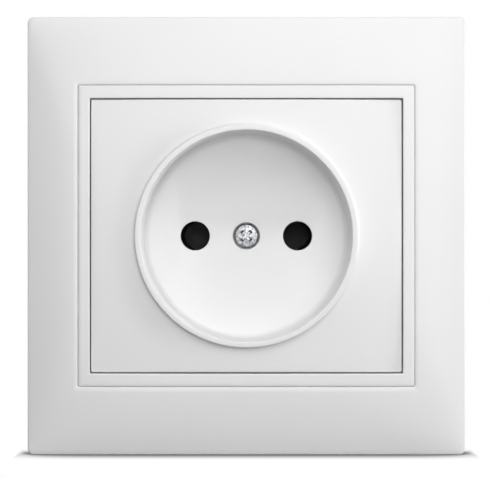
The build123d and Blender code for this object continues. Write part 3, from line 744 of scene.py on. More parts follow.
# The same plating on cold-headed screws: mottled grey, dimpled by the header and by the driver.
ZINC_PLATED_SCREW = WorkedMetal(
    "headed_zinc_plated_screw", "zinc_steel", "#B4B5B7", "#636568", 0.38, 0.10,
    line_mm=0.2, line_stretch=(1.0, 1.0, 1.0), line_depth_mm=0.02, patch_mm=0.5, dent_depth_mm=0.06,
)

# Spring steel, rolled and blued by its hardening: darker, with close drawn lines.
ROLLED_SPRING_STEEL = WorkedMetal(
    "rolled_spring_steel", "spring_steel", "#7F848B", "#6B7078", 0.30, 0.08,
    line_mm=0.1, line_stretch=(1.0, 0.1, 1.0), patch_mm=1.5,
)

# Brass, rolled to sheet or drawn to bar and dulled by storage: brownish yellow, lines along the draw.
ROLLED_BRASS = WorkedMetal(
    "rolled_brass", "contact_brass", "#A98C55", "#8F7646", 0.34, 0.07,
    line_mm=0.12, line_stretch=(1.0, 0.1, 1.0), patch_mm=1.8,
)

# The same brass, painted darker as painted shade, so that the contacts stay dark behind the pin holes.
SHADE_DARKENED_BRASS = WorkedMetal(
    "browned_rolled_brass", "contact_brass", "#5E5136", "#4A402C", 0.45, 0.06,
    line_mm=0.12, line_stretch=(1.0, 0.1, 1.0), patch_mm=1.8,
)


def install(piece: bpy.types.Object, node: str, finish: Finish, in_mm: bool = True) -> bpy.types.Object:
    """Turn a drawn piece to metres, dress it, and let it stand for its CAD node.

    Args:
        piece: The finished mesh object.
        node: The CAD node that it stands for.
        finish: Its finish.
        in_mm: Whether it was drawn in millimetres.

    Returns:
        The installed piece.
    """
    with editing(piece):
        if in_mm:
            bpy.ops.mesh.select_all(action="SELECT")
            bpy.ops.transform.resize(value=(MM, MM, MM), center_override=(0, 0, 0))
        face_outward()
    bpy.ops.object.shade_smooth_by_angle(angle=SMOOTH_ANGLE)
    piece.data.materials.clear()
    piece.data.materials.append(finish.material())
    body = next(name for name, nodes in frame["record"]["behaviour"]["bodies"].items() if node in nodes)
    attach(piece, body)
    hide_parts(node)
    log.info("%s: %d faces on %s", piece.name, len(piece.data.polygons), body)
    return piece


# --------------------------------------------------------------------------- cover


@dataclass
class PillowSurface:
    """The pillowed front that the cover frame and the trim share."""

    half_size: float = 39.998
    corner: float = 1.1
    edge_height: float = 7.4
    rise: float = 1.8
    inner_half_width: float = 28.3
    inner_half_tall: float = 24.85
    inner_corner: float = 16.0
    corner_opening: float = 0.6
    search_steps: int = 24

    def contour(self, share: float) -> Outline:
        """Find the level contour this share of the way from the rim to the plate.

        Args:
            share: 0 at the rim and 1 at the plate.

        Returns:
            The contour, its corners opening fast near the rim, so that the sides blend without a mitre.
        """
        opening = share ** self.corner_opening
        return Outline(
            self.half_size + (self.inner_half_width - self.half_size) * share,
            self.half_size + (self.inner_half_tall - self.half_size) * share,
            self.corner + (self.inner_corner - self.corner) * opening,
        )

    def height(self, x: float, z: float) -> float:
        """Find the surface's height at a place seen from the front.

        Args:
            x: The place to the right.
            z: The place upwards.

        Returns:
            The height in front of the wall.
        """
        low, high = 0.0, 1.0
        for _ in range(self.search_steps):
            share = (low + high) / 2
            shape = self.contour(share)
            across = abs(x) - (shape.half_width - shape.corner)
            upright = abs(z) - (shape.half_tall - shape.corner)
            outside = math.hypot(max(across, 0), max(upright, 0)) + min(max(across, upright), 0)
            if outside > shape.corner:
                high = share
            else:
                low = share
        return self.edge_height + self.rise * (1 - (1 - low) ** 2)

    def lowered(self, amount: float) -> Surface:
        """The same surface, this much lower."""
        return lambda x, z: self.height(x, z) - amount


# Where the middle loop of a rounded seam edge lies, as a share of the rounding's width and of its drop
SEAM_MIDDLE = 0.3


def join_ribs(piece: bpy.types.Object, near: tuple[float, float], far: tuple[float, float],
              offsets: tuple[float, ...], thickness: float, top: float, foot: float) -> None:
    """Join ribs that run straight outwards on all four sides of a moulding.

    Args:
        piece: The moulding.
        near: How far from the middle the ribs across and the upright ribs start.
        far: How far from the middle they end.
        offsets: How far beside the middle each of them lies.
        thickness: Their thickness.
        top: The height up to which they reach, inside the skin.
        foot: The height of their free edge.
    """
    half = thickness / 2
    for offset in offsets:
        for end in (-1, 1):
            left, right = sorted((end * near[0], end * far[0]))
            lower, upper = sorted((end * near[1], end * far[1]))
            for low, high in (
                ((left, offset - half), (right, offset + half)),
                ((offset - half, lower), (offset + half, upper)),
            ):
                tool = block((low[0], -top, low[1]), (high[0], -foot, high[1]))
                put_through(piece, tool, Cut.JOIN)


@dataclass
class CoverFrame:
    """Outer frame: one hollow moulding with a pillowed front and a ledge for the trim."""

    surface: PillowSurface
    rim_radius: float = 0.3
    rim_rise: float = 0.071
    rim_slope_degrees: float = 74.7
    rim_flats: int = 5
    seam: Outline = Outline(30.7, 27.5, 0.3)
    seam_round: float = 0.34
    seam_drop: float = 0.24
    ledge_height: float = 5.0
    ledge_thickness: float = 1.4
    ledge_opening: Outline = Outline(25.6, 22.3, 1.0)
    ring_wall: float = 1.5
    ring_corner: float = 0.3
    skin_underside: float = 6.9
    skin_pocket: Outline = Outline(35.5, 35.5, 0.3)
    rim_pocket: Outline = Outline(38.2, 38.2, 0.3)
    rim_pocket_height: float = 5.6
    rib_thickness: float = 1.2
    rib_start: float = 2.6
    rib_offset: float = 15.0
    rib_overlap: float = 0.9
    rib_sink: float = 0.1
    peg_play: float = 0.45
    front_loops: int = 16

    def build(self) -> bpy.types.Object:
        """Draw the moulding's skin, then join its ribs and cut the slots for the trim's pegs.

        Returns:
            The installed piece.
        """
        skin = MouldedSkin("cover_frame_moulding")
        outer = Outline(self.surface.half_size, self.surface.half_size, self.surface.corner)
        steps: Steps = [(outer, 0.0)]
        steps += rounding(outer, self.surface.edge_height + self.rim_rise, self.rim_radius,
                          0, self.rim_slope_degrees, self.rim_flats)
        shoulder = steps[-1][0]
        brow = self.seam.inset(-self.seam_round)
        for step in range(1, self.front_loops + 1):
            steps.append((shoulder.toward(brow, step / self.front_loops), self.surface.height))
        half = self.seam.inset(-self.seam_round * SEAM_MIDDLE)
        steps += [
            (half, self.surface.lowered(self.seam_drop * SEAM_MIDDLE)),
            (self.seam, self.surface.lowered(self.seam_drop)),
        ]
        skin.draw(steps + self._inside())
        join_ribs(
            skin.piece,
            near=(self.seam.half_width + self.rib_overlap, self.seam.half_tall + self.rib_overlap),
            far=(self.surface.half_size - self.rib_overlap, self.surface.half_size - self.rib_overlap),
            offsets=(-self.rib_offset, self.rib_offset), thickness=self.rib_thickness,
            top=self.skin_underside + self.rib_sink, foot=self.rib_start,
        )
        under = self.ledge_height - self.ledge_thickness
        for (x, z), (across, tall) in peg_places():
            reach_x, reach_z = across / 2 + self.peg_play, tall / 2 + self.peg_play
            tool = block((x - reach_x, -self.ledge_height - OVERLAP, z - reach_z),
                         (x + reach_x, -under + OVERLAP, z + reach_z))
            put_through(skin.piece, tool, Cut.TAKE_AWAY)
        return install(skin.piece, "cover_frame", GLOSS_WHITE_ABS)

    def _inside(self) -> Steps:
        """List the loops from the seam over the ledge and through the hollow to the outer wall's foot.

        Returns:
            The loops with their heights.
        """
        under = self.ledge_height - self.ledge_thickness
        ring_outside = Outline(self.seam.half_width + self.ring_wall, self.seam.half_tall + self.ring_wall,
                               self.ring_corner)
        return [
            (self.seam, self.ledge_height),
            (self.ledge_opening, self.ledge_height),
            (self.ledge_opening, under),
            (ring_outside, under),
            (ring_outside, self.skin_underside),
            (self.skin_pocket, self.skin_underside),
            (self.skin_pocket, self.rim_pocket_height),
            (self.rim_pocket, self.rim_pocket_height),
            (self.rim_pocket, 0.0),
        ]


def peg_places() -> list[tuple[tuple[float, float], tuple[float, float]]]:
    """Place and size of the trim's four pegs, one in the middle of each side.

    Returns:
        For each peg its place (x, z) and its size across and upright.
    """
    peg_x, peg_z, thickness, span = 29.65, 26.325, 1.0, 5.0
    places = []
    for end in (-1, 1):
        places.append(((end * peg_x, 0.0), (thickness, span)))
        places.append(((0.0, end * peg_z), (span, thickness)))
    return places


@dataclass
class TrimInsert:
    """Narrow insert between the cover frame and the plate, with four hooked pegs."""

    surface: PillowSurface
    outside: Outline = Outline(30.67, 27.47, 0.3)
    inside: Outline = Outline(28.56, 25.11, 0.2)
    seam_round: float = 0.34
    seam_drop: float = 0.24
    inner_round: float = 0.08
    foot_height: float = 5.0
    peg_length: float = 2.2
    hook_top: float = 3.58
    hook_reach: float = 0.35
    front_loops: int = 6

    def build(self) -> bpy.types.Object:
        """Draw the insert's skin and join its pegs.

        Returns:
            The installed piece.
        """
        skin = MouldedSkin("trim_insert_moulding")
        shoulder = self.outside.inset(self.seam_round)
        brow = self.inside.inset(-self.inner_round)
        steps: Steps = [
            (self.outside, self.foot_height),
            (self.outside, self.surface.lowered(self.seam_drop)),
            (self.outside.inset(self.seam_round * SEAM_MIDDLE),
             self.surface.lowered(self.seam_drop * SEAM_MIDDLE)),
        ]
        for step in range(self.front_loops + 1):
            steps.append((shoulder.toward(brow, step / self.front_loops), self.surface.height))
        steps += [
            (self.inside.inset(-self.inner_round * SEAM_MIDDLE),
             self.surface.lowered(self.inner_round * SEAM_MIDDLE)),
            (self.inside, self.surface.lowered(self.inner_round)),
            (self.inside, self.foot_height),
        ]
        skin.draw(steps)
        for (x, z), (across, tall) in peg_places():
            tool = block((x - across / 2, -self.foot_height - OVERLAP, z - tall / 2),
                         (x + across / 2, self.peg_length - self.foot_height, z + tall / 2))
            put_through(skin.piece, tool, Cut.JOIN)
            put_through(skin.piece, self._hook(x, z, across, tall), Cut.JOIN)
        return install(skin.piece, "trim_frame", GLOSS_WHITE_ABS)

    def _hook(self, x: float, z: float, across: float, tall: float) -> bpy.types.Object:
        """The tapered hook at the foot of a peg.

        Args:
            x: The peg's place to the right.
            z: The peg's place upwards.
            across: The peg's size across.
            tall: The peg's upright size.

        Returns:
            The hook as a body to join.
        """
        reach_x = self.hook_reach if across < tall else 0.0
        reach_z = self.hook_reach if tall < across else 0.0
        foot = self.peg_length - self.foot_height
        tool = block((x - across / 2 - reach_x, -self.hook_top, z - tall / 2 - reach_z),
                     (x + across / 2 + reach_x, foot, z + tall / 2 + reach_z))
        with editing(tool):
            with open_mesh(tool) as mesh:
                for vert in mesh.verts:
                    vert.select_set(vert.co.y > (foot - self.hook_top) / 2)
                mesh.select_flush(True)
            narrow = (1 - reach_x / (across / 2 + reach_x), 1, 1 - reach_z / (tall / 2 + reach_z))
            bpy.ops.transform.resize(value=narrow)
        return tool


@dataclass
class SocketPlate:
    """Plate and plug well in one moulding, with the raised lip, the pin holes and the screw boss."""

    outline: Outline = Outline(28.3, 24.85, 0.35)
    corner_segments: int = 4
    side_cuts: int = 27
    crown_radius: float = 500.0
    crown_top: float = 9.9
    edge_round: float = 0.14
    edge_flats: int = 4
    skirt_height: float = 5.0
    skirt_wall: float = 1.5
    underside: float = 7.0
    rib_thickness: float = 1.2
    rib_overlap: float = 0.4
    rib_sink: float = 0.1
    lip_height: float = 10.4
    lip_outer_round: float = 0.1
    lip_outer_flats: int = 4
    lip_inner_round: float = 0.15
    lip_inner_flats: int = 5
    lip_inner_radius: float = 19.3
    cup_radius: float = 20.3
    cup_foot_radius: float = 0.6
    floor_radius: float = 19.0
    floor_fillet: float = 1.2
    floor_fillet_flats: int = 7
    floor_thickness: float = 2.0
    boss_radius: float = 4.0
    boss_depth: float = 4.2
    pin_place: float = 9.5
    pin_hole_radius: float = 2.7
    recess_radius: float = 2.5
    recess_depth: float = 2.2
    screw_hole_radius: float = 1.35
    screw_hole_sides: int = 48
    hole_round: float = 0.12

    def crown(self, x: float, z: float) -> float:
        """Height of the plate's slightly domed front at a place."""
        return math.sqrt(self.crown_radius ** 2 - x * x - z * z) - self.crown_radius + self.crown_top

    def build(self) -> bpy.types.Object:
        """Draw the moulding from its skirt over the lip to the well's floor, and cut its holes.

        Returns:
            The installed piece.
        """
        skin = MouldedSkin("socket_plate_moulding", corner_segments=self.corner_segments,
                           side_cuts=self.side_cuts, guide=self.outline)
        steps: Steps = [
            (ring(self.boss_radius), -self.boss_depth),
            (ring(self.boss_radius), -self.floor_thickness),
            (ring(self.cup_radius), -self.floor_thickness),
            (ring(self.cup_radius), self.underside),
            (self.outline.inset(self.skirt_wall), self.underside),
            (self.outline.inset(self.skirt_wall), self.skirt_height),
            (self.outline, self.skirt_height),
        ]
        steps += self._edge() + self._front() + self._lip() + self._well()
        skin.draw(steps, capped=True)
        join_ribs(
            skin.piece,
            near=(self.cup_radius - self.rib_overlap, self.cup_radius - self.rib_overlap),
            far=(self.outline.half_width - self.skirt_wall / 2, self.outline.half_tall - self.skirt_wall / 2),
            offsets=(0.0,), thickness=self.rib_thickness, top=self.underside + self.rib_sink,
            foot=self.skirt_height,
        )
        self._cut_holes(skin.piece)
        return install(skin.piece, "centre_plate", GLOSS_WHITE_ABS)

    def _edge(self) -> Steps:
        """List the loops of the plate's rounded outer edge.

        Returns:
            The loops, each on a surface just below the crown.
        """
        return [
            (outline, lambda x, z, height=height: self.crown(x, z) + height)
            for outline, height in rounding(self.outline, 0.0, self.edge_round, 0, 90, self.edge_flats)
        ]

    def _front(self) -> Steps:
        """List the loops of the front between the plate's edge and the fillet round the cup.

        Returns:
            The loops, all on the crown.
        """
        edge = self.outline.inset(self.edge_round)
        foot = self.cup_radius + self.cup_foot_radius
        # A rounded rectangle whose corners grow keeps the loops evenly spaced on their way to the circle
        nearly_round = Outline(foot + 2.2, foot + 1.2, foot - 3.0)
        shapes = [edge.toward(nearly_round, share) for share in (0.2, 0.4, 0.6, 0.8)]
        return [(shape, self.crown) for shape in shapes + [ring(foot)]]

    def _lip(self) -> Steps:
        """List the loops from the foot fillet over the rounded lip and down inside it.

        Returns:
            The loops, the fillet's on surfaces just above the crown.
        """
        loops: Steps = []
        for degrees in THREE_FLATS:
            angle = math.radians(degrees)
            radius = self.cup_radius + self.cup_foot_radius * (1 - math.sin(angle))
            rise = self.cup_foot_radius * (1 - math.cos(angle))
            loops.append((ring(radius), lambda x, z, rise=rise: self.crown(x, z) + rise))
        loops += rounding(ring(self.cup_radius), self.lip_height, self.lip_outer_round,
                          0, 90, self.lip_outer_flats)
        loops += rounding(ring(self.lip_inner_radius), self.lip_height, -self.lip_inner_round,
                          90, 0, self.lip_inner_flats)
        return loops

    def _well(self) -> Steps:
        """List the loops of the fillet between the well's slightly tapered wall and its floor.

        Returns:
            The loops with their heights.
        """
        loops: Steps = []
        for step in range(self.floor_fillet_flats + 1):
            angle = math.radians(90 * step / self.floor_fillet_flats)
            radius = self.floor_radius - self.floor_fillet * (1 - math.cos(angle))
            loops.append((ring(radius), self.floor_fillet * (1 - math.sin(angle))))
        return loops

    def _cut_holes(self, piece: bpy.types.Object) -> None:
        """Cut the pin holes and the stepped screw hole, and ease their front edges.

        Args:
            piece: The moulding.
        """
        for radius, x, start, end, sides in (
            (self.pin_hole_radius, -self.pin_place, -REACH, self.floor_thickness + REACH, 96),
            (self.pin_hole_radius, self.pin_place, -REACH, self.floor_thickness + REACH, 96),
            (self.recess_radius, 0, -REACH, self.recess_depth, 96),
            (self.screw_hole_radius, 0, REACH, self.boss_depth + REACH, self.screw_hole_sides),
        ):
            put_through(piece, rod(radius, x, 0, start, end, sides), Cut.TAKE_AWAY)
        rims = ((-self.pin_place, self.pin_hole_radius), (self.pin_place, self.pin_hole_radius),
                (0.0, self.recess_radius))
        level, near = 1e-4, 0.01

        def on_hole_edge(edge: bmesh.types.BMEdge) -> bool:
            """Whether both ends lie on a hole's edge in the floor."""
            return any(
                all(abs(v.co.y) < level and abs(math.hypot(v.co.x - x, v.co.z) - radius) < near
                    for v in edge.verts)
                for x, radius in rims
            )

        round_edges(piece, on_hole_edge, self.hole_round)


# --------------------------------------------------------------------------- turned pieces


@dataclass
class Screw:
    """A machine screw: a headed blank with a rolled thread and a driver's recess."""

    name: str
    node: str
    place: Place
    head_radius: float
    head_thickness: float
    shank_radius: float
    length: float
    pitch: float
    drive: Drive
    dome: float = 0.15
    edge_round: float = 0.3
    seat_ease: float = 0.08
    upright: bool = False
    plain_length: float = 0.6
    tip_chamfer: float = 0.3
    thread_depth: float = 0.18
    drive_turn: float = 45.0
    cross_span: float = 2.9
    cross_slot: float = 0.75
    cross_start: float = 0.3
    cross_taper: tuple[float, float] = (0.62, 0.75)
    recess_depth: float = 1.1
    slot_width: float = 0.7
    loops_per_pitch: int = 6

    def build(self) -> bpy.types.Object:
        """Draw the blank, roll its thread, cut its recess and put it in place.

        Returns:
            The installed piece.
        """
        piece = TurnedSkin(self.name).turn(self._head() + self._shank())
        self._roll_thread(piece)
        if self.drive is Drive.CROSS:
            for angle in (0, 90):
                put_through(piece, self._wing(angle + self.drive_turn), Cut.TAKE_AWAY)
        else:
            reach, half = self.head_radius + REACH, self.slot_width / 2
            tool = block((-reach, -self.head_thickness - REACH, -half),
                         (reach, self.recess_depth - self.head_thickness, half))
            put_through(piece, tool, Cut.TAKE_AWAY)
        move_axis(piece, *self.place, upright=self.upright)
        return install(piece, self.node, ZINC_PLATED_SCREW)

    def _head(self) -> list[tuple[float, float]]:
        """List the circles of the domed head, from its middle to its seat at depth 0.

        Returns:
            Radius and depth of each circle.
        """
        rim, top = self.head_radius, -self.head_thickness
        circles = [(CLOSED, top)]
        for share in (0.25, 0.5, 0.75, 1.0):
            circles.append((share * (rim - self.edge_round), top + self.dome * share * share))
        for degrees in THREE_FLATS:
            angle = math.radians(degrees)
            circles.append((rim - self.edge_round * (1 - math.sin(angle)),
                            top + self.dome + self.edge_round * (1 - math.cos(angle))))
        return circles + [(rim, -self.seat_ease), (rim - self.seat_ease, 0.0), (self.shank_radius, 0.0)]

    def _shank(self) -> list[tuple[float, float]]:
        """List the circles of the shank, close enough together for its thread, down to its tip.

        Returns:
            Radius and depth of each circle.
        """
        step = self.pitch / self.loops_per_pitch
        count = int((self.length - self.plain_length - self.tip_chamfer) / step)
        circles = [(self.shank_radius, self.plain_length + index * step) for index in range(count)]
        return circles + [(self.shank_radius - self.tip_chamfer, self.length), (CLOSED, self.length)]

    def _roll_thread(self, piece: bpy.types.Object) -> None:
        """Press a helical thread into the shank.

        Args:
            piece: The blank.
        """
        start, end = self.plain_length, self.length - self.tip_chamfer
        near = 0.01
        with editing(piece), open_mesh(piece) as mesh:
            for vert in mesh.verts:
                radius = math.hypot(vert.co.x, vert.co.z)
                if not start < vert.co.y < end or abs(radius - self.shank_radius) > near:
                    continue
                turn = math.atan2(vert.co.z, vert.co.x) / (2 * math.pi)
                phase = (vert.co.y / self.pitch - turn) % 1.0
                fade = min(1.0, (vert.co.y - start) / self.pitch, (end - vert.co.y) / self.pitch)
                cut = self.thread_depth * fade * (1 - abs(2 * phase - 1))
                scale = (radius - cut) / radius
                vert.co.x *= scale
                vert.co.z *= scale

    def _wing(self, degrees: float) -> bpy.types.Object:
        """One tapered wing of the cross recess.

        Args:
            degrees: Its turn about the screw's axis.

        Returns:
            The wing as a body to take away.
        """
        half, slot = self.cross_span / 2, self.cross_slot / 2
        top = -self.head_thickness
        tool = block((-half, top - self.cross_start, -slot), (half, top + self.recess_depth, slot))
        with editing(tool):
            with open_mesh(tool) as mesh:
                for vert in mesh.verts:
                    if vert.co.y > top + self.recess_depth / 2:
                        vert.co.x *= self.cross_taper[0]
                        vert.co.z *= self.cross_taper[1]
            bpy.ops.mesh.select_all(action="SELECT")
            bpy.ops.transform.rotate(value=math.radians(degrees), orient_axis="Y", center_override=(0, 0, 0))
        return tool


@dataclass
class TubularRivet:
    """A tubular rivet with a pressed head in front and a rolled end behind."""

    name: str
    node: str
    z: float
    radius: float = 1.5
    bore_radius: float = 1.0
    head_radius: float = 2.6
    head: float = 0.6
    front: float = -1.8
    rear: float = 24.6
    mouth_widening: float = 0.2
    mouth_drop: float = 0.05
    mouth_depth: float = 0.3
    roll_inset: float = 0.6
    roll_reach: float = 0.54
    roll_height: float = 0.588

    def build(self) -> bpy.types.Object:
        """Draw the tube with its head and its rolled end.

        Returns:
            The installed piece.
        """
        profile = [(self.bore_radius + self.mouth_widening, self.front + self.mouth_drop)]
        half_head = self.head / 2
        for degrees in range(0, 181, 30):
            angle = math.radians(degrees)
            profile.append((self.head_radius - half_head + half_head * math.sin(angle),
                            self.front + half_head - half_head * math.cos(angle)))
        roll = self.rear - self.head
        profile += [(self.radius, self.front + self.head), (self.radius, roll)]
        for degrees in range(0, 151, 30):
            angle = math.radians(degrees)
            profile.append((self.head_radius - self.roll_inset + self.roll_reach * math.cos(angle),
                            roll + self.roll_height * math.sin(angle)))
        profile += [(self.bore_radius, roll), (self.bore_radius, self.front + self.mouth_depth)]
        piece = TurnedSkin(self.name).turn(profile, tube=True)
        move_axis(piece, 0, 0, self.z)
        return install(piece, self.node, ZINC_PLATED_STEEL)


@dataclass
class HingePin:
    """A claw's hinge pin, upset to a low dome outside each lug."""

    name: str
    node: str
    x: float
    y: float = 5.2
    radius: float = 1.0
    head_radius: float = 1.7
    head: float = 0.6
    dome: float = 0.51
    half_length: float = 5.8
    sides: int = 32

    def build(self) -> bpy.types.Object:
        """Draw the pin with its two domed ends.

        Returns:
            The installed piece.
        """
        near = [(CLOSED, -self.half_length)]
        for degrees in range(20, 91, 14):
            angle = math.radians(degrees)
            near.append((self.head_radius * math.sin(angle),
                         self.dome * (1 - math.cos(angle)) - self.half_length))
        seat = self.half_length - self.head
        near += [(self.head_radius, -seat), (self.radius, -seat)]
        far = [(radius, -depth) for radius, depth in reversed(near)]
        piece = TurnedSkin(self.name, sides=self.sides).turn(near + far)
        move_axis(piece, self.x, self.y, 0, upright=True)
        return install(piece, self.node, ZINC_PLATED_STEEL)


# --------------------------------------------------------------------------- pieces that keep the CAD's shape


@dataclass
class EasedNode:
    """A piece with its CAD node's shape, its triangles merged and its sharp edges eased."""

    node: str
    finish: Finish
    ease: float
    segments: int = 2
    edge_angle: float = math.radians(38)
    flat_angle: float = math.radians(0.5)
    merge_distance: float = 2e-6

    def build(self) -> bpy.types.Object:
        """Copy the node's mesh, merge it, ease its edges and install the copy.

        Returns:
            The installed piece.
        """
        source = frame["nodes"][self.node]
        piece = new_piece(f"{self.node}_eased", source.data.copy())
        with editing(piece):
            bpy.ops.mesh.select_all(action="SELECT")
            bpy.ops.mesh.remove_doubles(threshold=self.merge_distance)
            bpy.ops.mesh.dissolve_limited(angle_limit=self.flat_angle)
        apply_modifier(piece, "BEVEL", width=self.ease * MM, segments=self.segments, limit_method="ANGLE",
                       angle_limit=self.edge_angle, use_clamp_overlap=True)
        return install(piece, self.node, self.finish, in_mm=False)


@dataclass
class Mechanism:
    """The hidden half: support plate, base, contacts, terminals and spreading claws."""

    claw_screw_x: float = 23.6
    claw_pivot_x: float = 20.2
    pin_place: float = 9.5
    terminal_screw_y: float = 14.6
    terminal_seat_z: float = 22.4
    rivet_z: float = 23.4
    sheet: float = 1.2
    seat_gap: float = 0.02

    def build(self) -> None:
        """Build every piece behind the plate."""
        for node, finish, ease in (
            ("base", ERODED_GREY_POLYAMIDE, 0.25),
            ("rear_cover", ERODED_GREY_POLYAMIDE, 0.25),
            ("support_plate", ZINC_PLATED_STEEL, 0.12),
            ("centre_insert", ROLLED_BRASS, 0.1),
        ):
            EasedNode(node, finish, ease).build()
        for name, z in (("rivet_upper", self.rivet_z), ("rivet_lower", -self.rivet_z)):
            TubularRivet(f"{name}_rolled", name, z).build()
        for side in Side:
            self._build_pole(side)
            self._build_claw(side)

    def _build_pole(self, side: Side) -> None:
        """Build one contact with its spring, terminal block and screw.

        Args:
            side: Which half it is on.
        """
        # The contacts take the darker brass, a painted shade that keeps them dark behind the pin holes.
        EasedNode(f"contact_{side.word}", SHADE_DARKENED_BRASS, 0.08).build()
        EasedNode(f"contact_spring_{side.word}", ROLLED_SPRING_STEEL, 0.08).build()
        EasedNode(f"terminal_block_{side.word}", ROLLED_BRASS, 0.2).build()
        Screw(
            f"terminal_screw_{side.word}_slotted", f"terminal_screw_{side.word}",
            (side.value * self.pin_place, self.terminal_screw_y, self.terminal_seat_z),
            head_radius=2.6, head_thickness=2.0, shank_radius=1.5, length=5.8, pitch=0.5,
            drive=Drive.SLOT, dome=0.05, upright=True, recess_depth=1.0,
        ).build()

    def _build_claw(self, side: Side) -> None:
        """Build one claw with its hinge pin, nut and screw.

        Args:
            side: Which half it is on.
        """
        EasedNode(f"claw_{side.word}", ZINC_PLATED_STEEL, 0.12).build()
        EasedNode(f"claw_nut_{side.word}", ZINC_PLATED_STEEL, 0.15).build()
        HingePin(
            f"claw_pin_{side.word}_upset", f"claw_pin_{side.word}", side.value * self.claw_pivot_x,
        ).build()
        Screw(
            f"claw_screw_{side.word}_pan_head", f"claw_screw_{side.word}",
            (side.value * self.claw_screw_x, -self.sheet - self.seat_gap, 0),
            head_radius=2.5, head_thickness=1.8, shank_radius=1.5, length=10.9, pitch=0.5,
            drive=Drive.CROSS, dome=0.25, edge_round=0.5,
        ).build()


# --------------------------------------------------------------------------- camera and studio


@dataclass
class PhotoCamera:
    """A long lens straight in front of the socket, as the photograph was taken."""

    place: Place = (-0.165, -496.0, -0.48)
    lens: float = 196.0
    sensor: float = 36.0
    clip_start: float = 0.01

    def build(self) -> None:
        """Add the camera and make it the scene's."""
        data = bpy.data.cameras.new("photo_camera")
        data.lens = self.lens
        data.sensor_width = self.sensor
        data.clip_start = self.clip_start
        camera = bpy.data.objects.new("photo_camera", data)
        camera.location = [value * MM for value in self.place]
        camera.rotation_euler = (math.pi / 2, 0, 0)
        bpy.context.scene.collection.objects.link(camera)
        bpy.context.scene.camera = camera
        log.info("camera at %s", tuple(camera.location))


@dataclass(frozen=True)
class Softbox:
    """A square studio light that faces the socket."""

    name: str
    place: Place
    size: float
    power: float

    def build(self) -> None:
        """Add the light, turned to the socket's centre."""
        data = bpy.data.lights.new(self.name, "AREA")
        data.shape = "SQUARE"
        data.size = self.size * MM
        data.energy = self.power
        light = bpy.data.objects.new(self.name, data)
        light.location = [value * MM for value in self.place]
        light.rotation_euler = (-light.location).to_track_quat("-Z", "Y").to_euler()
        light.visible_camera = False
        bpy.context.scene.collection.objects.link(light)


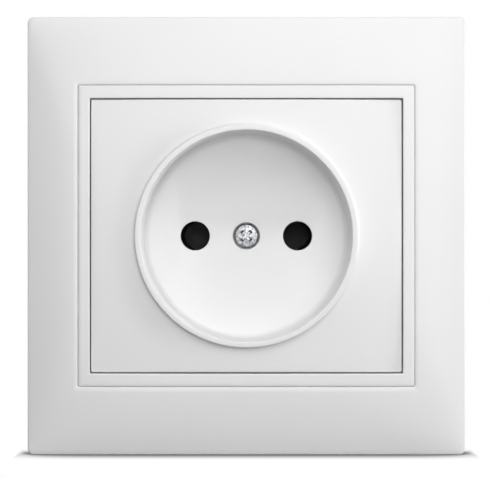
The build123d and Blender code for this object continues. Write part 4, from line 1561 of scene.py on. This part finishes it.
@dataclass
class Studio:
    """Pale floor, white surroundings and soft lights.

    The camera and reflections see the floor and the surroundings in plain white. What they throw
    onto the socket is weaker, so that its shaded sides stay as dark as in a larger room.
    """

    floor_height: float = -40.0
    floor_half_size: float = 1500.0
    floor_cuts: int = 8
    floor_bounce: str = "#777777"
    shadow_reach_mm: float = 11.0
    shadow_depth: float = 0.2
    shadow_samples: int = 16
    shadow_nearness: tuple[float, float] = (0.5, 0.97)
    shadow_sides: tuple[float, float] = (40.2, 42.2)
    world_strength: float = 0.3
    lamps: tuple[Softbox, ...] = (
        Softbox("raking_side_softbox", (489.0, -104.0, 0.0), 110.0, 1.22),
        Softbox("key_softbox", (41.6, -191.5, 155.2), 160.0, 0.2),
        Softbox("upper_left_softbox", (-176.8, -353.6, 306.2), 110.0, 0.208),
        Softbox("side_fill_softbox", (211.3, -453.2, 0.0), 110.0, 0.228),
        Softbox("front_softbox", (17.4, -499.7, 0.0), 300.0, 0.92),
    )

    def build(self) -> None:
        """Add the floor, the world and the lights."""
        bpy.context.scene.view_settings.view_transform = "Standard"
        self._build_floor()
        self._build_world()
        for lamp in self.lamps:
            lamp.build()
        log.info("studio with %d softboxes", len(self.lamps))

    def _build_floor(self) -> None:
        """Lay the floor and give it its paper."""
        floor = new_piece("studio_floor")
        reach = self.floor_half_size * MM
        with editing(floor):
            bpy.ops.mesh.primitive_plane_add(size=2, location=(0, 0, self.floor_height * MM))
            bpy.ops.transform.resize(value=(reach, reach, 1), center_override=(0, 0, 0))
            bpy.ops.mesh.subdivide(number_cuts=self.floor_cuts)
        floor.data.materials.append(self._floor_paper())

    def _floor_paper(self) -> bpy.types.Material:
        """Make the floor's matt paper: white with the socket's soft contact shadow, and grey to the lamps.

        Returns:
            The material with its nodes.
        """
        material = bpy.data.materials.new("matt_white_floor_paper")
        material.use_nodes = True
        tree = material.node_tree
        tree.nodes.clear()
        paper = add_node(tree, "ShaderNodeBsdfDiffuse", {"Color": linear(self.floor_bounce)})
        white = add_node(tree, "ShaderNodeEmission",
                         {"Color": linear("#FFFFFF"), "Strength": self._contact_shadow(tree)})
        mix = add_node(tree, "ShaderNodeMixShader", {
            "Fac": self._background_rays(tree), 1: paper.outputs[0], 2: white.outputs[0],
        })
        add_node(tree, "ShaderNodeOutputMaterial", {"Surface": mix.outputs[0]})
        return material

    def _contact_shadow(self, tree: bpy.types.NodeTree) -> bpy.types.NodeSocket:
        """Work out how light the floor is from how near the socket is, but only beneath its width.

        Args:
            tree: The node tree to add to.

        Returns:
            1 away from the socket, and less close to it.
        """
        nearness = add_node(tree, "ShaderNodeAmbientOcclusion", {"Distance": self.shadow_reach_mm * MM},
                            samples=self.shadow_samples)
        shade = add_node(tree, "ShaderNodeMapRange", {
            "Value": nearness.outputs["AO"],
            "From Min": self.shadow_nearness[0], "From Max": self.shadow_nearness[1],
            "To Min": self.shadow_depth, "To Max": 1.0,
        })
        place = add_node(tree, "ShaderNodeSeparateXYZ",
                         {"Vector": add_node(tree, "ShaderNodeTexCoord").outputs["Object"]})
        across = add_node(tree, "ShaderNodeMath", {0: place.outputs["X"]}, operation="ABSOLUTE")
        beside = add_node(tree, "ShaderNodeMapRange", {
            "Value": across.outputs[0],
            "From Min": self.shadow_sides[0] * MM, "From Max": self.shadow_sides[1] * MM,
        })
        return self._larger(tree, shade.outputs["Result"], beside.outputs["Result"])

    def _background_rays(self, tree: bpy.types.NodeTree) -> bpy.types.NodeSocket:
        """Tell the rays that see the background from those that light the socket.

        Args:
            tree: The node tree to add to.

        Returns:
            1 for camera, glossy and transmission rays and 0 for others.
        """
        rays = add_node(tree, "ShaderNodeLightPath")
        seen = self._larger(tree, rays.outputs["Is Camera Ray"], rays.outputs["Is Glossy Ray"])
        return self._larger(tree, seen, rays.outputs["Is Transmission Ray"])

    def _larger(self, tree: bpy.types.NodeTree, one: bpy.types.NodeSocket,
                other: bpy.types.NodeSocket) -> bpy.types.NodeSocket:
        """The larger of two values."""
        return add_node(tree, "ShaderNodeMath", {0: one, 1: other}, operation="MAXIMUM").outputs[0]

    def _build_world(self) -> None:
        """Surround the scene with white that lights the socket only gently."""
        world = bpy.data.worlds.new("white_surroundings")
        bpy.context.scene.world = world
        world.use_nodes = True
        tree = world.node_tree
        tree.nodes.clear()
        strength = add_node(tree, "ShaderNodeMapRange", {
            "Value": self._background_rays(tree), "To Min": self.world_strength, "To Max": 1.0,
        })
        white = add_node(tree, "ShaderNodeBackground",
                         {"Color": linear("#FFFFFF"), "Strength": strength.outputs["Result"]})
        add_node(tree, "ShaderNodeOutputWorld", {"Surface": white.outputs[0]})


def main() -> None:
    """Build the camera, the socket's pieces and the studio."""
    logging.basicConfig(level=logging.INFO, format="%(name)s: %(message)s")
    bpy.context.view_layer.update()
    PhotoCamera().build()
    surface = PillowSurface()
    CoverFrame(surface).build()
    TrimInsert(surface).build()
    SocketPlate().build()
    Screw(
        "centre_screw_cross_head", "centre_screw", (0, 2.2, 0), head_radius=2.25, head_thickness=1.8,
        shank_radius=1.25, length=10.0, pitch=0.45, drive=Drive.CROSS, dome=0.12, edge_round=0.35,
        plain_length=2.4,
    ).build()
    Mechanism().build()
    Studio().build()


if __name__ == "__main__":
    main()
